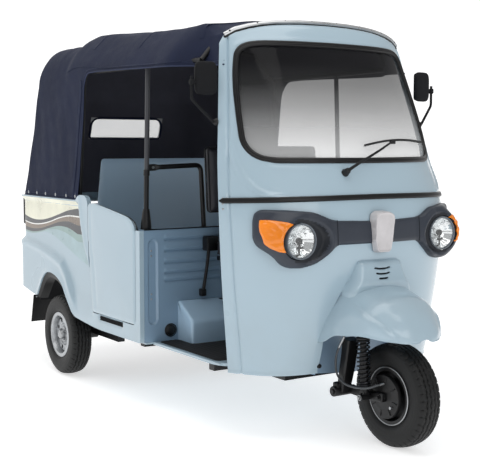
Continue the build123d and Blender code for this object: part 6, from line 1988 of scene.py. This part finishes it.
# ------------------------------------------------------------------ seats
def stuffed(name, x0, x1, y0, y1, z0, z1, r, node, cap, voxel, rx=0.0, pivot=(0, 0, 0), panels=(), grow=0.010, pressure=4.0, axis=2):
    """Foam and vinyl cushion: rounded block, blown out as cloth, then drawn in along its sewn channels."""
    g = Geo()
    block(g, x0 + grow, x1 - grow, y0 + grow, y1 - grow, z0 + grow * 0.6, z1 - grow * 0.9, r, 4)
    V = np.concatenate(g.v)
    V, F, m = clean(V, g.f, g.m, 2e-5)
    V = V.copy()
    V[:, 1] += FY
    me = bpy.data.meshes.new(name)
    me.from_pydata(V.tolist(), [], F)
    ob = bpy.data.objects.new(name, me)
    scene.collection.objects.link(ob)
    md = ob.modifiers.new("remesh", "REMESH")
    md.mode, md.voxel_size = "VOXEL", voxel
    flatten(ob)
    n = len(ob.data.vertices)
    A = np.zeros(n * 3)
    ob.data.vertices.foreach_get("co", A)
    A = A.reshape(-1, 3)
    cl = ob.modifiers.new("cloth", "CLOTH")
    st = cl.settings
    st.quality = 5
    st.mass = 0.3
    st.tension_stiffness, st.compression_stiffness, st.shear_stiffness, st.bending_stiffness = 15, 15, 5, 0.6
    st.use_pressure = True
    st.uniform_pressure_force = pressure
    st.effector_weights.gravity = 0
    cl.collision_settings.use_collision = False
    cl.point_cache.frame_start, cl.point_cache.frame_end = 1, 20
    for f in range(1, 21):
        scene.frame_set(f)
    dg = bpy.context.evaluated_depsgraph_get()
    ev = ob.evaluated_get(dg)
    B = np.zeros(n * 3)
    ev.data.vertices.foreach_get("co", B)
    B = B.reshape(-1, 3)
    D = B - A
    L = np.linalg.norm(D, axis=1)
    L[L < 1e-9] = 1e-9
    D = D * np.minimum(1.0, cap / L)[:, None]
    ob.modifiers.remove(cl)
    scene.frame_set(1)
    lo, hi = np.array([x0, y0 + FY, z0]), np.array([x1, y1 + FY, z1])
    # the sewn rim holds its outline: only the crown is free to rise
    for k in range(3):
        if k != axis:
            D[:, k] *= 0.25
    P = A + D
    for k in range(3):
        if k != axis:
            mid = (lo[k] + hi[k]) / 2
            P[:, k] = mid + (P[:, k] - mid) * ((hi[k] - lo[k]) / 2 - 0.0045) / np.abs(P[:, k] - mid).max()
    # keep to the foam's own room: soft limit at each face
    for k in range(3):
        over = P[:, k] - (hi[k] - 0.004)
        P[:, k] = np.where(over > 0, hi[k] - 0.004 + 0.004 * np.tanh(over / 0.008), P[:, k])
        under = (lo[k] + 0.003) - P[:, k]
        P[:, k] = np.where(under > 0, lo[k] + 0.003 - 0.003 * np.tanh(under / 0.006), P[:, k])
    # sewn channels across the face
    face = P[:, axis] - ((lo + hi) / 2)[axis]
    sgn = -1.0 if axis == 1 else 1.0
    onface = soft(0.0, 0.25 * (hi - lo)[axis], face * sgn)
    for kind, at, lo_, hi_ in panels:
        c = P[:, kind] - (at + (FY if kind == 1 else 0))
        other = 1 - kind if axis == 2 else (2 if kind == 0 else 0)
        o = P[:, other] - (FY if other == 1 else 0)
        w = soft(lo_ - 0.008, lo_ + 0.008, o) * soft(hi_ + 0.008, hi_ - 0.008, o)
        P[:, axis] -= sgn * onface * w * (0.0060 * np.exp(-(c / 0.0045) ** 2) + 0.0035 * np.exp(-(c / 0.018) ** 2))
    if rx:
        M4 = turned((pivot[0], pivot[1] + FY, pivot[2]), rx=rx)
        R3 = np.array(M4.to_3x3())
        P = P @ R3.T + np.array(M4.translation)
    ob.data.vertices.foreach_set("co", P.reshape(-1))
    ob.data.update()
    ob.data.materials.clear()
    ob.data.materials.append(M["seat_vinyl"])
    ob.data.polygons.foreach_set("use_smooth", [True] * len(ob.data.polygons))
    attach(ob, "body")
    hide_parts(node)
    return ob


def perimeter(hx, hy, r, n=64):
    return even(rounded(np.array([(-hx, -hy), (hx, -hy), (hx, hy), (-hx, hy)]), r, 8), 0.012)


def seats():
    a = stuffed("driver_seat_cushion_v", -0.262, 0.262, 0.505, 0.925, 0.677, 0.757, 0.015, "driver_seat_cushion", 0.016, 0.0068,
                panels=[(0, -0.175, 0.52, 0.91), (0, 0.175, 0.52, 0.91), (1, 0.600, -0.175, 0.175), (1, 0.700, -0.175, 0.175), (1, 0.800, -0.175, 0.175)])
    b = stuffed("rear_seat_cushion_v", -0.452, 0.452, 1.303, 1.737, 0.562, 0.667, 0.017, "rear_seat_cushion", 0.018, 0.0078,
                panels=[(0, -0.30, 1.32, 1.72), (0, 0.0, 1.32, 1.72), (0, 0.30, 1.32, 1.72), (1, 1.42, -0.44, 0.44)])
    c = stuffed("driver_seat_back_v", -0.300, 0.300, 0.893, 0.951, 0.874, 1.170, 0.015, "driver_seat_back", 0.016, 0.0062, rx=-4.2, pivot=(0, 0.892, 0.872),
                panels=[(0, -0.205, 0.89, 1.155), (0, 0.205, 0.89, 1.155)], axis=1)
    # piping round each cushion
    g = Geo()
    for hx, y0, y1, z in ((0.2600, 0.5070, 0.9230, 0.738), (0.2600, 0.5070, 0.9230, 0.692)):
        ring = perimeter(hx - 0.003, (y1 - y0) / 2 - 0.003, 0.018)
        sweep(g, np.array([(x, (y0 + y1) / 2 + y, z) for x, y in ring]), circle(0.0034, 8), closed=True)
    p1 = make("driver_cushion_piping", g, ["seat_piping"], angle=60)
    g = Geo()
    for z in (0.650, 0.578):
        ring = perimeter(0.4475, 0.2125, 0.020)
        sweep(g, np.array([(x, 1.520 + y, z) for x, y in ring]), circle(0.0036, 8), closed=True)
    p2 = make("rear_cushion_piping", g, ["seat_piping"], angle=60)
    g = Geo()
    M4 = turned((0, 0.892, 0.872), rx=-4.2)
    for y in (0.910, 0.934):
        ring = perimeter(0.2955, 0.1435, 0.018)
        pts = np.array([tuple(M4 @ Vector((x, y, 1.022 + z))) for x, z in ring])
        sweep(g, pts, circle(0.0034, 8), closed=True)
    p3 = make("driver_back_piping", g, ["seat_piping"], angle=60)
    # driver's seat frame: folded tray, legs, back stays
    g = Geo()
    block(g, -0.235, 0.235, 0.530, 0.955, 0.656, 0.6755, 0.004, 2)
    for s in (-1, 1):
        tube_run(g, (s * 0.205, 0.935, 0.481), (s * 0.205, 0.935, 0.658), 0.0110)
        tube_run(g, (s * 0.205, 0.900, 0.481), (s * 0.205, 0.700, 0.658), 0.0095)
        block(g, s * 0.205 - 0.020, s * 0.205 + 0.020, 0.885, 0.955, 0.4798, 0.4835, 0.0012, 1)
        run = bend([(s * 0.200, 0.945, 0.664), (s * 0.200, 0.960, 0.700), (s * 0.200, 0.986, 1.080)], 0.03)
        sweep(g, run, circle(0.0088, 16))
        for z in (0.930, 1.060):
            block(g, s * 0.200 - 0.016, s * 0.200 + 0.016, 0.958, 0.976, z - 0.012, z + 0.012, 0.003, 2)
    tube_run(g, (-0.205, 0.966, 0.78), (0.205, 0.966, 0.78), 0.0085)
    make("driver_seat_frame_v", g, ["black_metal"], replaces=["driver_seat_frame"], angle=40)
    # rear seat back: flanged panel with a shallow pressed border, in a lighter copy of the body paint: painted light
    g = Geo()
    out = np.array([(-0.478, 0.004), (0.478, 0.004), (0.391, 0.558), (-0.391, 0.558)])
    o = rounded(out, 0.014, 4)
    X, Z = np.meshgrid(np.linspace(-0.482, 0.482, 57), np.linspace(0.0, 0.562, 35), indexing="ij")
    U, V, keep = carve(X, Z, lambda u, w: -poly_sdf(u, w, o))
    d = -poly_sdf(U, V, o)
    h = -0.0125 + 0.006 * (1 - np.sqrt(np.clip(1 - (1 - np.clip(d / 0.006, 0, 1)) ** 2, 0, 1))) + 0.0030 * soft(0.034, 0.040, d) * 0 + 0.0022 * np.exp(-((d - 0.035) / 0.0045) ** 2)
    P = np.stack([U, h, V], -1)
    M4 = turned((0, 0, 0), rx=-6)
    R3 = np.array(M4.to_3x3())
    P = P @ R3.T + np.array([0, 1.760, 0.548])
    g.grid(P, 0, keep=keep)
    make("rear_seat_back_v", g, ["painted_light_paint"], replaces=["rear_seat_back"], thick=0.011, outward=False, angle=40)


M["seat_piping"] = vinyl("seat_piping", "#1b1c20", 0.4, 400.0)
seats()


# ------------------------------------------------------------------ tail
def tail():
    g = Geo()
    outer = np.array([(-0.512, 0.419), (0.512, 0.419), (0.512, 0.905), (-0.512, 0.905)])
    hole = rounded(np.array([(-0.350, 0.470), (0.350, 0.470), (0.350, 0.850), (-0.350, 0.850)]), 0.020, 5)
    X, Z = np.meshgrid(np.linspace(-0.512, 0.512, 129), np.linspace(0.419, 0.905, 62), indexing="ij")
    U, V, keep = carve(X, Z, lambda u, w: np.minimum(-poly_sdf(u, w, outer) + 0.0005, poly_sdf(u, w, hole)))
    e = poly_sdf(U, V, hole)
    h = -0.0055 * np.exp(-((e - 0.012) / 0.006) ** 2) * 0.4 - 0.003 * soft(0.006, 0.0, e)
    g.grid(np.stack([U, 2.455 + h, V], -1), 0, keep=keep, flip=True)
    make("tail_panel_v", g, ["body_paint"], replaces=["tail_panel"], thick=0.021, outward=False, angle=40)
    # lid with two banks of louvres and a raised bead inside its border
    g = Geo()
    o = rounded(np.array([(-0.3435, 0.4765), (0.3435, 0.4765), (0.3435, 0.8395), (-0.3435, 0.8395)]), 0.014, 4)
    X, Z = np.meshgrid(np.linspace(-0.3435, 0.3435, 121), np.linspace(0.4765, 0.8395, 85), indexing="ij")
    U, V, keep = carve(X, Z, lambda u, w: -poly_sdf(u, w, o) + 0.0003)
    d = -poly_sdf(U, V, o)
    h = 0.0020 * np.sqrt(np.clip(1 - (1 - np.clip(d / 0.006, 0, 1)) ** 2, 0, 1)) - 0.0010 + 0.0018 * np.exp(-((d - 0.022) / 0.005) ** 2)
    for s in (-1, 1):
        for k in range(7):
            z0 = 0.560 + 0.030 * k
            w = soft(0.0, 0.010, 0.060 - np.abs(U - s * 0.245)) * 1.0
            t = (V - z0) / 0.020
            h += np.where((t > 0) & (t < 1), w * 0.0095 * np.clip(1 - t, 0, 1) ** 0.8, 0.0)
    g.grid(np.stack([U, 2.4555 + h, V], -1), 0, keep=keep, flip=True)
    make("engine_lid_v", g, ["body_paint"], body="engine_lid", replaces=["engine_lid"], thick=0.003, outward=False, angle=30)
    g = Geo()
    for s in (-1, 1):
        for a, b in ((0.190, 0.208), (0.209, 0.231), (0.232, 0.250)):
            lathe(g, [(s * a, 0.0), (s * a, 0.0058), (s * b, 0.0058), (s * b, 0.0)], (0, 2.462, 0.846), "X", 18, 0)
        block(g, min(s * 0.192, s * 0.248), max(s * 0.192, s * 0.248), 2.4572, 2.4605, 0.815, 0.842, 0.001, 1, 0)
        for x in (0.205, 0.235):
            screw(g, (s * x, 2.4600, 0.826), (0, 1, 0), 0.0038, 0.002, 1)
    # turn handle
    lathe(g, [(0.0, 0.016), (0.004, 0.0155), (0.006, 0.012), (0.006, 0.0)], (0, 2.4575, 0.515), "Y", 28, 1)
    block(g, -0.026, 0.026, 2.462, 2.472, 0.5105, 0.5195, 0.003, 2, 1)
    make("lid_fittings", g, ["black_metal", "zinc"], body="engine_lid", angle=35)
    # blank plate
    g = Geo()
    o = rounded(np.array([(-0.130, 0.620), (0.130, 0.620), (0.130, 0.700), (-0.130, 0.700)]), 0.010, 5)
    X, Z = np.meshgrid(np.linspace(-0.130, 0.130, 79), np.linspace(0.620, 0.700, 31), indexing="ij")
    U, V, keep = carve(X, Z, lambda u, w: -poly_sdf(u, w, o))
    d = -poly_sdf(U, V, o)
    h = 0.0009 * np.exp(-((d - 0.0045) / 0.0014) ** 2)
    g.grid(np.stack([U, 2.4605 + h, V], -1), 0, keep=keep, flip=True)
    for s in (-1, 1):
        screw(g, (s * 0.090, 2.4605, 0.660), (0, 1, 0), 0.0058, 0.0035, 1, 6)
    make("number_plate_v", g, ["plate_metal", "zinc"], body="engine_lid", replaces=["number_plate"], thick=0.0018, outward=False, angle=35)
    # tail lamps: dark housing, ribbed red and amber lens
    g = Geo()
    for s in (-1, 1):
        x0, x1 = sorted((s * 0.470, s * 0.560))
        block(g, x0, x1, 2.436, 2.466, 0.740, 0.890, 0.007, 3, 1)
        block(g, x0 + 0.005, x1 - 0.005, 2.462, 2.4765, 0.780, 0.885, 0.005, 3, 0)
        block(g, x0 + 0.005, x1 - 0.005, 2.462, 2.4765, 0.745, 0.777, 0.005, 3, 2)
        for k in range(9):
            x = x0 + 0.012 + (x1 - x0 - 0.024) * k / 8
            tube_run(g, (x, 2.4762, 0.787), (x, 2.4762, 0.878), 0.0009, 6, 0)
        for z in (0.772, 0.782):
            pass
    make("tail_lamps_v", g, ["red_plastic", "black_plastic", "amber_plastic"], replaces=["tail_lamps"], angle=40)
    # bumper tube with its stays
    g = Geo()
    run = bend([(-0.430, 2.462, 0.386), (-0.400, 2.470, 0.386), (0.400, 2.470, 0.386), (0.430, 2.462, 0.386)], 0.02)
    sweep(g, run, circle(0.0158, 20))
    for s in (-1, 1):
        run = bend([(s * 0.278, 2.3015, 0.262), (s * 0.278, 2.345, 0.280), (s * 0.278, 2.468, 0.382)], 0.03)
        sweep(g, run, circle(0.0135, 16))
        block(g, s * 0.278 - 0.022, s * 0.278 + 0.022, 2.3005, 2.3050, 0.240, 0.288, 0.001, 1)
        for z in (0.249, 0.279):
            screw(g, (s * 0.278, 2.305, z), (0, 1, 0), 0.006, 0.004, 1, 6)
        lathe(g, [(s * 0.4295, 0.0), (s * 0.4295, 0.0160), (s * 0.4305, 0.0150), (s * 0.4305, 0.0)], (0, 2.462, 0.386), "X", 20, 2)
    make("rear_bumper_v", g, ["black_metal", "zinc", "black_rubber"], replaces=["rear_bumper"], angle=40)
    # black lip round each wheel arch
    g = Geo()
    arch = np.array([(1.700, 0.329), (1.712, 0.331), (1.747, 0.368), (1.801, 0.421), (1.842, 0.474), (1.911, 0.508), (1.985, 0.521), (2.050, 0.514), (2.098, 0.481), (2.178, 0.376), (2.182, 0.370)])
    arch = even(rounded(arch, 0.03, 5)[6:-6], 0.012, closed=False)
    for s in (-1, 1):
        rows = []
        for i in range(len(arch)):
            t = arch[min(i + 1, len(arch) - 1)] - arch[max(i - 1, 0)]
            t /= np.linalg.norm(t)
            n = np.array([t[1], -t[0]])
            wdt = 0.030 * (0.45 + 0.55 * math.sin(math.pi * min(1, max(0, (i + 2) / (len(arch) + 3)))))
            q0, q1 = arch[i] - n * 0.002, arch[i] + n * wdt
            rows.append([(s * 0.5965, *q0), (s * 0.5985, *(arch[i] + n * 0.004)), (s * 0.5960, *(arch[i] + n * wdt * 0.6)), (s * 0.5900, *q1), (s * 0.5700, *(q1 + n * 0.004)), (s * 0.545, *(q1 + n * 0.005))])
        g.grid(rows, 0, flip=(s > 0))
    make("arch_lips", g, ["black_plastic"], angle=30, thick=0.002, outward=False)
    # engine: finned cylinder, cover and exhaust beside the plain block
    g = Geo()
    for k in range(9):
        x = -0.150 + 0.016 * k
        block(g, x, x + 0.005, 1.800, 1.960, 0.455, 0.520, 0.002, 1, 0)
    lathe(g, [(0.0, 0.060), (0.012, 0.060), (0.018, 0.052), (0.018, 0.0)], (0.185, 1.92, 0.31), "X", 40, 0)
    for k in range(6):
        a = k * math.pi / 3
        screw(g, (0.197, 1.92 + 0.052 * math.cos(a), 0.31 + 0.052 * math.sin(a)), (1, 0, 0), 0.005, 0.004, 1, 6)
    lathe(g, [(2.10, 0.0), (2.10, 0.034), (2.106, 0.040), (2.330, 0.040), (2.336, 0.034), (2.336, 0.0)], (0.120, 0, 0.345), "Y", 36, 2)
    pipe(g, [(0.10, 1.95, 0.300), (0.11, 2.02, 0.300), (0.12, 2.08, 0.335), (0.120, 2.11, 0.345)], 0.014, 14, 2, 20)
    pipe(g, [(0.120, 2.33, 0.345), (0.125, 2.37, 0.340), (0.128, 2.40, 0.325)], 0.012, 14, 2, 14)
    make("engine_details", g, ["cast_metal", "zinc", "black_metal"], angle=35)
    # step bracket under the front corner of the floor
    g = Geo()
    block(g, -0.455, -0.415, 0.560, 0.660, 0.262, 0.2895, 0.004, 2, 0)
    make("floor_bracket", g, ["black_metal"], angle=35)


tail()


# ------------------------------------------------------------------ CAD nodes that are shown as they are
SLOT_OF = {s["node"]: s["material_slot"] for s in frame["record"]["subparts"]}
for node_name, ob in NODES.items():
    if not ob.hide_render and ob.type == "MESH":
        ob.data.materials.clear()
        ob.data.materials.append(M[SLOT_OF[node_name]])
# ------------------------------------------------------------------ light, floor and the end
def studio():
    w = bpy.data.worlds.new("World")
    scene.world = w
    w.use_nodes = True
    bg = w.node_tree.nodes["Background"]
    bg.inputs[0].default_value = (1.0, 1.0, 1.0, 1)
    bg.inputs[1].default_value = 0.43

    def paper(name, size, loc, rot, base, glow):
        m = Mat(name)
        n = m.noise(0.6, 2.0)
        m.set(color=m.mix(n, scaled((0.94, 0.943, 0.947), base), scaled((0.96, 0.962, 0.965), base)), rough=0.9, spec=0.0, emit=(1.0, 1.0, 1.0), emit_k=glow)
        me = bpy.data.meshes.new(name)
        sx, sy = size
        me.from_pydata([(-sx, -sy, 0), (sx, -sy, 0), (sx, sy, 0), (-sx, sy, 0)], [], [(0, 1, 2, 3)])
        me.materials.append(m.m)
        o = bpy.data.objects.new(name, me)
        o.location = loc
        o.rotation_euler = rot
        scene.collection.objects.link(o)
        return o

    fl = paper("floor", (30, 30), (0, 0, -0.001), (0, 0, 0), 0.9, 0.56)
    # tall white sheet far behind
    back = [paper("sheet_%d" % i, (30, 12), (x, y, 8), (math.radians(90), 0, math.radians(r)), 0.2, 1.05) for i, (x, y, r) in enumerate(((0, 16, 0),))]

    def area(name, loc, at, size, power, colour=(1, 1, 1), sy=None):
        li = bpy.data.lights.new(name, "AREA")
        li.shape = "RECTANGLE"
        li.size, li.size_y, li.energy, li.color = size, sy or size, power, colour
        o = bpy.data.objects.new(name, li)
        o.location = loc
        o.rotation_euler = (Vector(at) - Vector(loc)).to_track_quat("-Z", "Y").to_euler()
        scene.collection.objects.link(o)
        return o

    a = area("top_light", (-0.6, -0.6, 4.6), (0, 0, 0.6), 4.5, 92, (1.0, 0.99, 0.97), 4.0)
    b = area("front_light", (-1.2, -5.2, 2.6), (0, -0.9, 0.8), 3.0, 40, (1.0, 1.0, 1.0), 2.2)
    c = area("side_light", (-5.0, -0.6, 2.4), (0, 0.2, 0.7), 2.6, 5, (0.95, 0.97, 1.0), 2.4)


studio()
